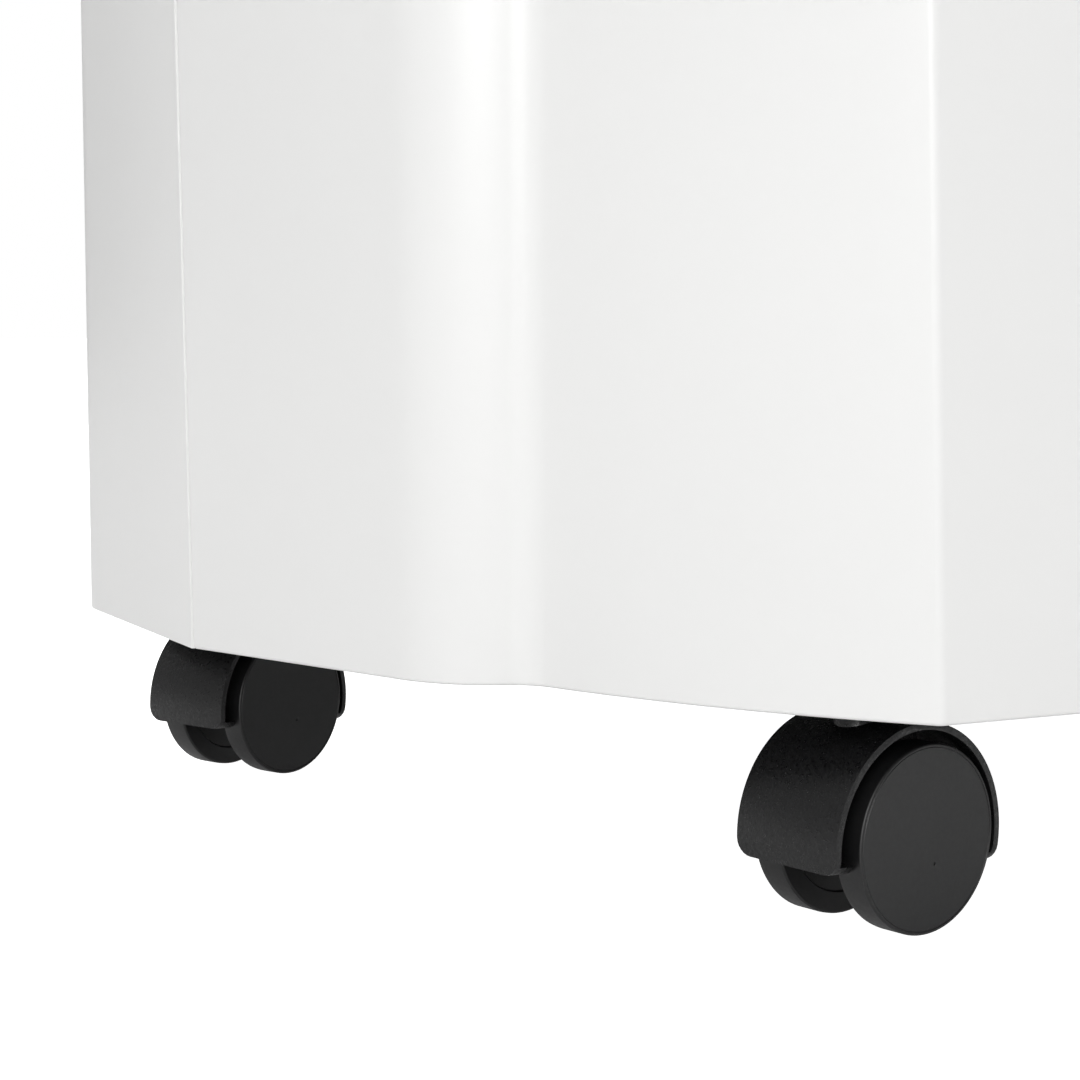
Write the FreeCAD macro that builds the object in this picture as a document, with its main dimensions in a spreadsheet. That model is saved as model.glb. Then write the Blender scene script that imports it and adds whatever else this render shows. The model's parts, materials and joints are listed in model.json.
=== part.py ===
"""Dehumidifier on four twin-wheel casters, as an assembly of separate pieces.

Frame: +Z up, front towards -Y, and +X to the right of someone who faces the front.
The origin is on the floor under the middle of the cabinet.  All sizes are millimetres.
"""
import FreeCAD, Part
import math
import os
import re
import Sketcher

V = FreeCAD.Vector
X_AXIS, Y_AXIS, Z_AXIS = V(1, 0, 0), V(0, 1, 0), V(0, 0, 1)

# Driving dimensions.  Each one becomes an aliased cell of the sheet called Sizes.
SIZES = {
    # cabinet
    "cabinet_width": 380, "cabinet_depth": 293, "skirt_height": 47.6, "shell_top": 572,
    "shell_wall": 2.6, "seam_gap": 0.6, "rear_corner": 36, "front_lean": 11, "kink_y": 24,
    "kink_lean": 23, "bulge_x": 136.4, "bulge_y": -34.1, "bulge_radius": 30, "bulge_turn": 70.3,
    "valley_radius": 10.8, "valley_turn": 20.8, "flank_radius": 250, "crease_radius": 3,
    "smallest_radius": 0.3,
    # base pan and caster sockets
    "pan_bottom": 48.6, "pan_thickness": 4, "pan_gap": 0.5, "socket_radius": 8.5, "socket_bottom": 45.6,
    "socket_top": 66, "socket_depth": 19,
    # casters
    "wheel_radius": 20, "wheel_inner_face": 8.2, "wheel_outer_face": 15.4, "wheel_edge": 1.2,
    "wheel_rim": 18, "wheel_dish": 0.5, "hub_radius": 6, "hub_rise": 0.2, "axle_radius": 2, "axle_half": 13,
    "hood_radius": 24.7, "hood_wall": 1.5, "hood_half": 14.3, "hood_back": 1.2, "hood_drop": 0.45,
    "hood_edge": 6.4, "hood_slope": 4.1, "hood_lip": 1.9, "wheel_room": 20.7, "slab_reach": 40,
    "web_half": 4, "hub_boss": 8.5, "neck_radius": 5.2, "neck_top": 44.9, "stem_radius": 4,
    "stem_bottom": 26, "stem_top": 63.5, "caster_trail": 5, "running_gap": 0.05,
    "front_stem_x": 88.97, "front_stem_y": -111.65, "front_heading": 12.8,
    "rear_stem_x": 149.08, "rear_stem_y": 110.4, "rear_heading": 25.4,
    # top cover, control panel and buttons
    "cover_top": 597, "cover_plate": 4, "cover_edge": 2.2, "fascia_half": 85.7, "fascia_front": -126.7,
    "fascia_back": -89.3, "fascia_depth": 2, "fascia_rise": 0.4, "fit_gap": 0.3, "lens_half": 20,
    "lens_front": -120, "lens_back": -96, "lens_depth": 1.2, "button_y": -108, "button_inner_x": 42,
    "button_outer_x": 66, "button_radius": 6.9, "button_top": 599.4, "flange_radius": 8.4,
    "flange_bottom": 590, "flange_top": 592.6, "plunger_radius": 2.5, "plunger_bottom": 584,
    "board_top": 582.4, "board_thickness": 1.6, "board_half": 80, "board_front": -124, "board_back": -92,
    "post_x": 28, "post_radius": 3,
    # outlet louvre
    "outlet_half": 110, "outlet_front": 10, "outlet_back": 80, "louvre_gap": 0.8, "louvre_bottom": 593.6,
    "louvre_top": 596.6, "louvre_hinge_y": 76.5, "louvre_hinge_z": 595.1, "louvre_pin": 1.2,
    "louvre_tail": 78.3, "louvre_slot_half": 100, "louvre_slot": 5.5, "louvre_pitch": 9.5,
    # tank bay
    "bay_half": 143.5, "bay_bottom": 53, "bay_top": 256, "face_gap": 0.4, "bin_half": 140, "bin_front": 24,
    "bin_bottom": 54, "bin_back": 143.9, "bin_top": 214, "bin_wall": 2.4, "bin_corner": 14,
    "lid_thickness": 3,
    "pocket_half": 60, "pocket_front": 118, "pocket_bottom": 221, "pocket_top": 251, "pocket_wall": 3,
    "drip_y": 95, "drip_hole": 14, "window_left": 96, "window_right": 110, "window_low": 80,
    "window_high": 196, "bail_half": 50, "bail_pivot_y": 66, "bail_pivot_z": 222, "bail_reach": 32,
    "bail_radius": 3.5, "pin_radius": 2, "ear_inner": 54.5, "ear_outer": 58.5, "ear_half": 5, "ear_top": 227,
    "float_x": -60, "float_pivot_y": 45, "float_pivot_z": 203, "float_arm_half": 2.6,
    "float_lug_half": 6, "float_lug_wall": 3, "float_front": 75, "float_back": 110, "float_bottom": 165,
    "float_top": 185, "float_half": 15, "switch_half": 12,
    # drip tray, drain and inlet bush
    "tray_bottom": 262, "tray_floor": 3, "tray_top": 286, "tray_wall": 2.5, "tray_front": 8,
    "tray_back": 131, "spout_radius": 8, "spout_bore": 5.5, "spout_drop": 256, "drain_x": -110,
    "drain_z": 280, "drain_cup_radius": 16, "drain_cup_depth": 14, "drain_cup_wall": 1.6,
    "drain_end": 145, "drain_root": 7, "drain_reach": 10, "plug_radius": 7.4,
    "gland_x": 110, "gland_radius": 9, "gland_flange": 12, "gland_bore": 3.6,
    # intake grille and air filter
    "grille_half": 125, "grille_low": 304, "grille_high": 545, "grille_thickness": 4, "grille_slot": 5.5,
    "grille_pitch": 8, "filter_half": 130, "filter_low": 300, "filter_high": 552, "filter_front": 135.5,
    "filter_back": 140.5, "filter_border": 8, "filter_tab_half": 40, "filter_cap_half": 133,
    "filter_cap_front": 131.5, "filter_cap_back": 144.5, "filter_cap_bottom": 597.2, "filter_cap_top": 599.2,
    "filter_grip_top": 600, "filter_grip_half": 22, "rail_gap": 0.5, "rail_width": 3,
    # hand grips
    "grip_front": 50, "grip_back": 120, "grip_low": 470, "grip_high": 500, "grip_depth": 21, "grip_wall": 2.4,
    # cooling circuit
    "coil_half": 116, "coil_low": 292, "coil_high": 540, "coil_depth": 22, "evaporator_y": 117,
    "condenser_y": 89, "fin_thickness": 0.8, "fin_pitch": 8, "tube_radius": 4, "tube_low": 310,
    "tube_pitch": 32, "tube_end": 122, "bend_radius": 15, "fin_hole_gap": 0.3, "capillary_radius": 1.5,
    "capillary_x": 142, "capillary_z": 556, "pipe_x": 130, "pipe_z": 296,
    "compressor_y": -62, "compressor_radius": 52, "compressor_bottom": 63.6, "compressor_top": 205,
    "compressor_dome": 22, "compressor_port_x": 30, "foot_radius": 9, "foot_top": 60.6, "foot_circle": 57,
    # fan
    "fan_z": 415, "scroll_radius": 112, "scroll_wall": 2.5, "scroll_front": 18, "scroll_back": 72,
    "scroll_top": 588, "scroll_inlet": 72, "motor_radius": 40, "motor_front": -45, "shaft_radius": 4,
    "shaft_front": -5, "shaft_back": 48, "impeller_radius": 92, "impeller_inner": 76, "impeller_front": 24,
    "impeller_back": 65, "impeller_plate": 2, "impeller_hub": 12, "blade_thickness": 1.4, "blade_count": 32,
    # fasteners
    "screw_x": 150, "screw_head": 3.5, "screw_shank": 1.7, "screw_end": 131.6,
}
SCREW_HEIGHTS = (280, 420, 555)
WORD = re.compile(r"[a-z][a-z_]+")

doc = FreeCAD.newDocument("Dehumidifier")
sheet = doc.addObject("Spreadsheet::Sheet", "Sizes")
for row, (alias, value) in enumerate(SIZES.items(), start=1):
    sheet.set(f"A{row}", alias)
    sheet.set(f"B{row}", str(value))
    sheet.setAlias(f"B{row}", alias)
doc.recompute()

probe = doc.addObject("Part::Vertex", "Probe")
nodes = []


def size(alias):
    """The value of one driving dimension, read from the sheet."""
    return float(sheet.get(alias))


def formula(text):
    """Turn words such as 'bin_top + 3' into an expression on the sheet's cells."""
    return WORD.sub(lambda match: f"Sizes.{match[0]}" if match[0] in SIZES else match[0], str(text))


def bind(piece, **formulas):
    """Bind properties to formulas; a double underscore in a name stands for a dot."""
    for name, text in formulas.items():
        piece.setExpression(name.replace("__", "."), formula(text))
    return piece


def node(piece, label):
    """Give a finished piece its name and keep it for export."""
    piece.Label = label
    nodes.append(piece)
    return piece


def place(piece, spot, turn=None):
    """Put a piece at a spot given by three formulas, turned by an optional rotation."""
    piece.Placement = FreeCAD.Placement(V(0, 0, 0), turn or FreeCAD.Rotation())
    return bind(piece, Placement__Base__x=spot[0], Placement__Base__y=spot[1], Placement__Base__z=spot[2])


def block(across, along, height):
    """A box between two formulas in X, in Y and in Z."""
    piece = doc.addObject("Part::Box", "Block")
    bind(piece, Length=f"{across[1]} - ({across[0]})", Width=f"{along[1]} - ({along[0]})",
         Height=f"{height[1]} - ({height[0]})")
    return place(piece, (across[0], along[0], height[0]))


def rod(radius, length, spot, axis=Z_AXIS):
    """A cylinder that starts at a spot and runs along an axis."""
    piece = doc.addObject("Part::Cylinder", "Rod")
    bind(piece, Radius=radius, Height=length)
    return place(piece, spot, FreeCAD.Rotation(Z_AXIS, axis))


def ball(radius, spot):
    """A sphere about a spot."""
    piece = doc.addObject("Part::Sphere", "Ball")
    bind(piece, Radius=radius)
    return place(piece, spot)


def fuse(*pieces):
    """One solid or one group made of several."""
    if len(pieces) == 1:
        return pieces[0]
    joined = doc.addObject("Part::MultiFuse", "Joined")
    joined.Shapes = list(pieces)
    return joined


def cut(base, *tools):
    """A base piece with tools taken away."""
    trimmed = doc.addObject("Part::Cut", "Trimmed")
    trimmed.Base = base
    trimmed.Tool = fuse(*tools)
    return trimmed


def common(first, second):
    """What two pieces share."""
    shared = doc.addObject("Part::MultiCommon", "Shared")
    shared.Shapes = [first, second]
    return shared


def group(pieces):
    """Separate solids kept together as one piece."""
    together = doc.addObject("Part::Compound", "Group")
    together.Links = list(pieces)
    return together


def feature(shape):
    """A piece whose shape is worked out from the sheet by Part's own functions."""
    piece = doc.addObject("Part::Feature", "Formed")
    piece.Shape = shape
    return piece


def origin_plane(body, role):
    """One of a body's own origin planes or axes."""
    return next(item for item in body.Origin.OriginFeatures if item.Role == role)


def polygon_sketch(body, role, corners):
    """A closed outline on an origin plane, each corner held by formulas for its two distances."""
    sketch = body.newObject("Sketcher::SketchObject", "Outline")
    sketch.AttachmentSupport = [(origin_plane(body, role), "")]
    sketch.MapMode = "FlatFace"
    spots = [V(*(value_of(text) for text in corner), 0) for corner in corners]
    count = len(corners)
    for index in range(count):
        sketch.addGeometry(Part.LineSegment(spots[index], spots[(index + 1) % count]), False)
    for index in range(count):
        sketch.addConstraint(Sketcher.Constraint("Coincident", index, 2, (index + 1) % count, 1))
    for index, corner in enumerate(corners):
        hold_corner(sketch, index, corner[0], "DistanceX", -2)
        hold_corner(sketch, index, corner[1], "DistanceY", -1)
    return sketch


def hold_corner(sketch, index, text, kind, axis):
    """Hold one coordinate of a sketch corner with a bound distance, or on the axis when it is zero."""
    if text == "0":
        sketch.addConstraint(Sketcher.Constraint("PointOnObject", index, 1, axis))
        return
    number = sketch.addConstraint(Sketcher.Constraint(kind, -1, 1, index, 1, value_of(text)))
    sketch.setExpression(f"Constraints[{number}]", formula(text))


def value_of(text):
    """The present value of a formula, read from a construction point that is bound to it."""
    bind(probe, X=text)
    probe.recompute()
    return float(probe.X)


def turned_body(corners):
    """A solid of revolution about its own Y axis, from corners given as (radius, distance along Y)."""
    body = doc.addObject("PartDesign::Body", "Turned")
    sketch = polygon_sketch(body, "XY_Plane", corners)
    turning = body.newObject("PartDesign::Revolution", "Turning")
    turning.Profile = sketch
    turning.ReferenceAxis = (sketch, ["V_Axis"])
    turning.Angle = 360
    doc.recompute()
    return body


def rounded(body, radius, chosen):
    """Add a fillet to the edges of a body's tip that a test picks."""
    tip = body.Tip
    names = [f"Edge{number}" for number, edge in enumerate(tip.Shape.Edges, start=1) if chosen(edge)]
    fillet = body.newObject("PartDesign::Fillet", "Rounding")
    fillet.Base = (tip, names)
    bind(fillet, Radius=radius)
    doc.recompute()
    return body


# ---------------------------------------------------------------- plan of the cabinet

def kink_at(height):
    """Y of the side seam at a height: the seam leans back."""
    rise = (height - size("skirt_height")) / (size("shell_top") - size("skirt_height"))
    return size("kink_y") + size("kink_lean") * rise


def front_at(height):
    """Y of the front face at a height: the face leans back."""
    rise = (height - size("skirt_height")) / (size("shell_top") - size("skirt_height"))
    return -size("cabinet_depth") / 2 + size("front_lean") * rise


def inward(angle):
    """Unit vector square to a wall that runs forward at an angle from the depth axis, pointing inwards."""
    return V(math.cos(angle), math.sin(angle), 0)


def arc_about(centre, radius, start, end):
    """An arc given by the wall angles at its two ends; a negative radius curves the other way."""
    spots = [centre - inward(angle) * radius for angle in (start, (start + end) / 2, end)]
    return Part.Arc(*spots).toShape()


def flank_edges(height, inset, run_back):
    """Left-hand front of the plan, from the seam to the middle of the front face.

    A flat panel, a convex bulge, a concave valley, a gently curved flank and a small crease follow
    each other tangentially, and the whole outline can be set inwards by a wall thickness.
    """
    seam = V(-size("cabinet_width") / 2, kink_at(height), 0)
    bulge = V(-size("bulge_x"), size("bulge_y"), 0)
    reach = bulge - seam
    bulge_turn, valley_turn = math.radians(size("bulge_turn")), math.radians(size("valley_turn"))
    panel_turn = math.atan2(reach.y, reach.x) + math.acos(size("bulge_radius") / reach.Length)
    forward = V(math.sin(panel_turn), -math.cos(panel_turn), 0)
    if run_back is None:
        start = seam + V(inset, inset * math.tan(panel_turn / 2), 0)
    else:
        start = seam + inward(panel_turn) * inset - forward * run_back
    valley = bulge - inward(bulge_turn) * (size("bulge_radius") + size("valley_radius"))
    flank = valley + inward(valley_turn) * (size("valley_radius") + size("flank_radius"))
    bulge_radius = size("bulge_radius") - inset
    flank_radius = size("flank_radius") - inset
    crease_radius = max(size("crease_radius") - inset, size("smallest_radius"))
    front = front_at(height) + inset
    drop = flank.y - front - crease_radius
    crease = V(flank.x - math.sqrt((flank_radius - crease_radius) ** 2 - drop ** 2), front + crease_radius, 0)
    flank_turn = math.atan2(drop, flank.x - crease.x)
    edges = [
        Part.LineSegment(start, bulge - inward(panel_turn) * bulge_radius).toShape(),
        arc_about(bulge, bulge_radius, panel_turn, bulge_turn),
        arc_about(valley, -(size("valley_radius") + inset), bulge_turn, valley_turn),
        arc_about(flank, flank_radius, valley_turn, flank_turn),
        arc_about(crease, crease_radius, flank_turn, math.pi / 2),
        Part.LineSegment(V(crease.x, front, 0), V(0, front, 0)).toShape(),
    ]
    return start, edges


def mirrored(edges):
    """The same edges on the other side of the middle plane, in running order."""
    return [edge.mirror(V(0, 0, 0), X_AXIS) for edge in reversed(edges)]


def front_outline(height, inset=0.0, run_back=None):
    """Closed outline of the front shell at a height."""
    start, left = flank_edges(height, inset, run_back)
    closing = Part.LineSegment(V(-start.x, start.y, 0), start).toShape()
    return raised([*left, *mirrored(left), closing], height)


def rear_outline(height, inset=0.0, run_forward=0.0):
    """Closed outline of the rear shell at a height."""
    side, back = size("cabinet_width") / 2 - inset, size("cabinet_depth") / 2 - inset
    radius = size("rear_corner") - inset
    start = kink_at(height) + size("seam_gap") - run_forward
    closing = Part.LineSegment(V(side, start, 0), V(-side, start, 0)).toShape()
    return raised([*rear_edges(side, back, radius, start), closing], height)


def rear_edges(side, back, radius, start):
    """The two sides, two round corners and the back, from the left-hand seam to the right-hand one."""
    left = [Part.LineSegment(V(-side, start, 0), V(-side, back - radius, 0)).toShape(),
            arc_about(V(radius - side, back - radius, 0), radius, 0, -math.pi / 2),
            Part.LineSegment(V(radius - side, back, 0), V(0, back, 0)).toShape()]
    return left + mirrored(left)


def whole_outline(height, inset=0.0):
    """Closed outline of the whole cabinet at a height."""
    start, left = flank_edges(height, inset, None)
    side, back = size("cabinet_width") / 2 - inset, size("cabinet_depth") / 2 - inset
    rear = rear_edges(side, back, size("rear_corner") - inset, start.y)
    return raised([*left, *mirrored(left), *rear], height)


def raised(edges, height):
    """A wire of edges drawn at floor level, lifted to a height."""
    wire = Part.Wire(Part.__sortEdges__(edges))
    wire.translate(V(0, 0, height))
    return wire


def leaning(outline, low, high, **options):
    """A ruled solid between the outlines at two heights."""
    return Part.makeLoft([outline(low, **options), outline(high, **options)], True, True)


def upright(height, top, inset):
    """The whole cabinet's plan at one height, pulled straight up to a top."""
    return Part.Face(whole_outline(height, inset)).extrude(V(0, 0, top - height))


# ---------------------------------------------------------------- shells and base

def front_shell():
    """The front moulding, one wall that wraps round both sides as far as the seams."""
    low, high, wall = size("skirt_height"), size("shell_top"), size("shell_wall")
    outer = leaning(front_outline, low, high)
    hollow = leaning(front_outline, low - 1, high + 1, inset=wall, run_back=12)
    node(feature(outer.cut(hollow)), "front_shell")


def rear_shell():
    """The rear moulding, open for the tank, the grille, the hands, the drain, the lead and the screws."""
    low, high, wall = size("skirt_height"), size("shell_top"), size("shell_wall")
    outer = leaning(rear_outline, low, high)
    hollow = leaning(rear_outline, low - 1, high + 1, inset=wall, run_forward=12)
    skin = feature(outer.cut(hollow))
    back, inside = "cabinet_depth/2", "cabinet_depth/2 - shell_wall"
    cup_floor = f"{back} - drain_cup_depth"
    cup = rod("drain_cup_radius + drain_cup_wall", "drain_cup_depth", ("drain_x", cup_floor, "drain_z"), Y_AXIS)
    rails = [rail(side) for side in (-1, 1)]
    tools = [
        block(("-bay_half", "bay_half"), (f"{inside} - 1", f"{back} + 1"), ("bay_bottom", "bay_top")),
        block(("-grille_half", "grille_half"), (f"{inside} - 1", f"{back} + 1"), ("grille_low", "grille_high")),
        rod("drain_cup_radius", "drain_cup_depth", ("drain_x", f"{cup_floor} + 2", "drain_z"), Y_AXIS),
        rod("drain_root + fit_gap", "8", ("drain_x", f"{cup_floor} - 3", "drain_z"), Y_AXIS),
        rod("gland_radius", "8", ("gland_x", f"{back} - 4", "drain_z"), Y_AXIS),
    ]
    for side in (-1, 1):
        tools.append(grip_hole(side))
        for height in SCREW_HEIGHTS:
            tools.append(rod("screw_shank + 0.1", "8", (f"{side}*screw_x", f"{back} - 5", height), Y_AXIS))
            tools.append(rod("screw_head + fit_gap", "4", (f"{side}*screw_x", f"{back} - 1.5", height), Y_AXIS))
    node(cut(fuse(skin, cup, *rails), *tools), "rear_shell")


def rail(side):
    """An L-shaped guide on the inside of the back that the filter frame slides in."""
    near, far = "filter_half + rail_gap", "filter_half + rail_gap + rail_width"
    web = block(span(side, near, far), ("filter_front - 2.8", "cabinet_depth/2 - shell_wall"),
                ("filter_low", "filter_high + 8"))
    lip = block(span(side, "filter_half - 3", far), ("filter_front - 2.8", "filter_front - 0.6"),
                ("filter_low", "filter_high + 8"))
    return fuse(web, lip)


def span(side, near, far):
    """Low and high formulas of a stretch of X on one side of the middle."""
    return (near, far) if side > 0 else (f"-({far})", f"-({near})")


def grip_hole(side):
    """The tool that cuts a hand hole in one side."""
    return block(span(side, "cabinet_width/2 - shell_wall - 1", "cabinet_width/2 + 1"),
                 ("grip_front", "grip_back"), ("grip_low", "grip_high"))


def grip_cup(side, label):
    """A cup behind a hand hole in the side of the cabinet."""
    face, wall = "cabinet_width/2 - shell_wall", "grip_wall"
    outer = block(span(side, f"{face} - grip_depth", face), (f"grip_front - {wall}", f"grip_back + {wall}"),
                  (f"grip_low - {wall}", f"grip_high + {wall}"))
    hollow = block(span(side, f"{face} - grip_depth + {wall}", f"{face} + 1"), ("grip_front", "grip_back"),
                   ("grip_low", "grip_high"))
    inside = feature(upright(size("grip_low") - 10, size("grip_high") + 10, size("shell_wall")))
    node(cut(common(outer, inside), hollow), label)


def stem_spots():
    """Name, X, Y and heading of each caster's stem; the right-hand ones mirror the left."""
    return {
        "front_left": ("-front_stem_x", "front_stem_y", size("front_heading")),
        "front_right": ("front_stem_x", "front_stem_y", 180 - size("front_heading")),
        "rear_left": ("-rear_stem_x", "rear_stem_y", size("rear_heading")),
        "rear_right": ("rear_stem_x", "rear_stem_y", 180 - size("rear_heading")),
    }


def base_pan():
    """The floor of the cabinet, with a socket for each caster's stem."""
    bottom = size("pan_bottom")
    plate = feature(upright(bottom, bottom + size("pan_thickness"), size("shell_wall") + size("pan_gap")))
    spots = stem_spots().values()
    sockets = [rod("socket_radius", "socket_top - socket_bottom", (x, y, "socket_bottom")) for x, y, _ in spots]
    bores = [rod("stem_radius + running_gap", "socket_depth", (x, y, "socket_bottom - 0.5"))
             for x, y, _ in spots]
    node(cut(fuse(plate, *sockets), *bores), "base_pan")


def top_cover():
    """The lid, with its seat for the panel, holes for the buttons, the outlet and the filter slot."""
    seam = size("shell_top") + size("seam_gap")
    top, plate, wall = size("cover_top"), size("cover_plate"), size("shell_wall")
    outer = upright(seam, top, 0.0)
    rim = [edge for edge in outer.Edges if edge.BoundBox.ZMin > top - 0.01]
    hollow = upright(seam, top - plate, wall)
    skin = feature(outer.makeFillet(size("cover_edge"), rim).cut(hollow))
    posts = [rod("post_radius", "cover_top - cover_plate - board_top", (f"{side}*post_x", y, "board_top"))
             for side in (-1, 1) for y in ("board_front + 4", "board_back - 4")]
    through = ("cover_top - cover_plate - 1", "cover_top + 1")
    tools = [
        block(("-fascia_half - fit_gap", "fascia_half + fit_gap"),
              ("fascia_front - fit_gap", "fascia_back + fit_gap"),
              ("cover_top - fascia_depth", "cover_top + 1")),
        block(("-outlet_half", "outlet_half"), ("outlet_front", "outlet_back"), through),
        rod("louvre_pin + running_gap", "2*outlet_half + 8",
            ("-outlet_half - 4", "louvre_hinge_y", "louvre_hinge_z"), X_AXIS),
        block(("-filter_half - 1", "filter_half + 1"), ("filter_front - 2", "filter_back + 2"), through),
    ]
    node(cut(fuse(skin, *posts), *tools, *button_holes()), "top_cover")


# ---------------------------------------------------------------- control panel

def button_places():
    """Label of each button and the formula of its place across the panel."""
    return {"power_button": "-button_outer_x", "fan_button": "-button_inner_x",
            "down_button": "button_inner_x", "up_button": "button_outer_x"}


def button_holes():
    """The tools that cut the four button holes through the cover and the panel."""
    return [rod("button_radius + fit_gap", "8", (x, "button_y", "cover_top - 6"))
            for x in button_places().values()]


def control_panel():
    """The gloss panel let into the cover, its display window and the board below."""
    bottom, top = "cover_top - fascia_depth", "cover_top + fascia_rise"
    plate = block(("-fascia_half", "fascia_half"), ("fascia_front", "fascia_back"), (bottom, top))
    recess = block(("-lens_half - 0.2", "lens_half + 0.2"), ("lens_front - 0.2", "lens_back + 0.2"),
                   (f"{top} - lens_depth", f"{top} + 1"))
    node(cut(plate, recess, *button_holes()), "control_fascia")
    lens = block(("-lens_half", "lens_half"), ("lens_front", "lens_back"), (f"{top} - lens_depth", top))
    node(lens, "display_lens")
    node(block(("-board_half", "board_half"), ("board_front", "board_back"),
               ("board_top - board_thickness", "board_top")), "control_board")


def push_button(label, x):
    """A cap with a flange that holds it under the cover, and a plunger that reaches for the board."""
    cap = rod("button_radius", "button_top - flange_bottom", (x, "button_y", "flange_bottom"))
    flange = rod("flange_radius", "flange_top - flange_bottom", (x, "button_y", "flange_bottom"))
    plunger = rod("plunger_radius", "flange_bottom - plunger_bottom + 1", (x, "button_y", "plunger_bottom"))
    node(fuse(cap, flange, plunger), label)


def outlet_louvre():
    """A hinged frame of slats that turns up on two pins at its rear edge."""
    edge, first = "outlet_half - louvre_gap", "outlet_front + 6"
    frame = block((f"-({edge})", edge), ("outlet_front + louvre_gap", "louvre_tail"),
                  ("louvre_bottom", "louvre_top"))
    pins = [rod("louvre_pin", "5", (start, "louvre_hinge_y", "louvre_hinge_z"), X_AXIS)
            for start in (f"-({edge}) - 4", f"{edge} - 1")]
    slots = [block(("-louvre_slot_half", "louvre_slot_half"),
                   (f"{first} + {index}*louvre_pitch", f"{first} + {index}*louvre_pitch + louvre_slot"),
                   ("louvre_bottom - 1", "louvre_top + 1")) for index in range(6)]
    node(cut(fuse(frame, *pins), *slots), "outlet_louvre")


# ---------------------------------------------------------------- air path at the back

def intake_grille():
    """A slotted plate in two columns."""
    back, edge = "cabinet_depth/2", "fit_gap"
    plate = block((f"-grille_half + {edge}", f"grille_half - {edge}"), (f"{back} - grille_thickness", back),
                  (f"grille_low + {edge}", f"grille_high - {edge}"))
    count = int((size("grille_high") - size("grille_low") - 12) / size("grille_pitch"))
    slots = []
    for index in range(count):
        foot = f"grille_low + 7 + {index}*grille_pitch"
        for side in (-1, 1):
            slots.append(block(span(side, "3", "grille_half - 8"),
                               (f"{back} - grille_thickness - 1", f"{back} + 1"),
                               (foot, f"{foot} + grille_slot")))
    node(cut(plate, *slots), "intake_grille")


def air_filter():
    """A frame that lifts out through the top cover, with its mesh held inside it."""
    depth = ("filter_front", "filter_back")
    frame = block(("-filter_half", "filter_half"), depth, ("filter_low", "filter_high"))
    window = block(("-filter_half + filter_border", "filter_half - filter_border"),
                   ("filter_front - 1", "filter_back + 1"),
                   ("filter_low + filter_border", "filter_high - filter_border"))
    tab = block(("-filter_tab_half", "filter_tab_half"), depth, ("filter_high - 1", "filter_cap_bottom + 1"))
    cap = block(("-filter_cap_half", "filter_cap_half"), ("filter_cap_front", "filter_cap_back"),
                ("filter_cap_bottom", "filter_cap_top"))
    grip = block(("-filter_grip_half", "filter_grip_half"), depth, ("filter_cap_top - 1", "filter_grip_top"))
    node(fuse(cut(frame, window), tab, cap, grip), "filter_frame")
    node(block(("-filter_half + filter_border", "filter_half - filter_border"),
               ("(filter_front + filter_back)/2 - 0.4", "(filter_front + filter_back)/2 + 0.4"),
               ("filter_low + filter_border", "filter_high - filter_border")), "filter_mesh")


# ---------------------------------------------------------------- water tank

def tank_bin():
    """An open bin with rounded upright corners."""
    body = doc.addObject("PartDesign::Body", "Bin")
    corners = [("-bin_half", "bin_front"), ("bin_half", "bin_front"),
               ("bin_half", "bin_back"), ("-bin_half", "bin_back")]
    sketch = polygon_sketch(body, "XY_Plane", corners)
    pad = body.newObject("PartDesign::Pad", "Block")
    pad.Profile = sketch
    bind(pad, Length="bin_top - bin_bottom")
    doc.recompute()
    rounded(body, "bin_corner", lambda edge: is_upright(edge) and edge.Vertexes[0].Y < size("bin_front") + 1)
    block_tip = body.Tip
    top = next(f"Face{number}" for number, face in enumerate(block_tip.Shape.Faces, start=1)
               if face.BoundBox.ZMin > size("bin_top") - size("bin_bottom") - 0.01)
    shelled = body.newObject("PartDesign::Thickness", "Walls")
    shelled.Base = (block_tip, [top])
    shelled.Reversed = True
    bind(shelled, Value="bin_wall")
    doc.recompute()
    node(place(body, ("0", "0", "bin_bottom")), "tank_bin")


def is_upright(edge):
    """Whether a straight edge runs along Z."""
    return edge.BoundBox.ZLength > 1 and edge.BoundBox.XLength < 0.01 and edge.BoundBox.YLength < 0.01


def tank_face():
    """The tank's outer panel, flush with the back, with a hand pocket and a slot for the window."""
    back, inside = "cabinet_depth/2", "cabinet_depth/2 - shell_wall"
    panel = block(("-bay_half + face_gap", "bay_half - face_gap"), (inside, back),
                  ("bay_bottom + face_gap", "bay_top - face_gap"))
    pocket = block(("-pocket_half", "pocket_half"), ("pocket_front", inside), ("pocket_bottom", "pocket_top"))
    hollow = block(("-pocket_half + pocket_wall", "pocket_half - pocket_wall"),
                   ("pocket_front + pocket_wall", f"{back} + 1"),
                   ("pocket_bottom + pocket_wall", "pocket_top - pocket_wall"))
    slot = block(("window_left", "window_right"), (f"{inside} - 1", f"{back} + 1"),
                 ("window_low", "window_high"))
    node(cut(fuse(panel, pocket), hollow, slot), "tank_face")
    node(block(("window_left + 0.2", "window_right - 0.2"), (inside, f"{back} - 0.4"),
               ("window_low + 0.2", "window_high - 0.2")), "tank_window")


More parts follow.
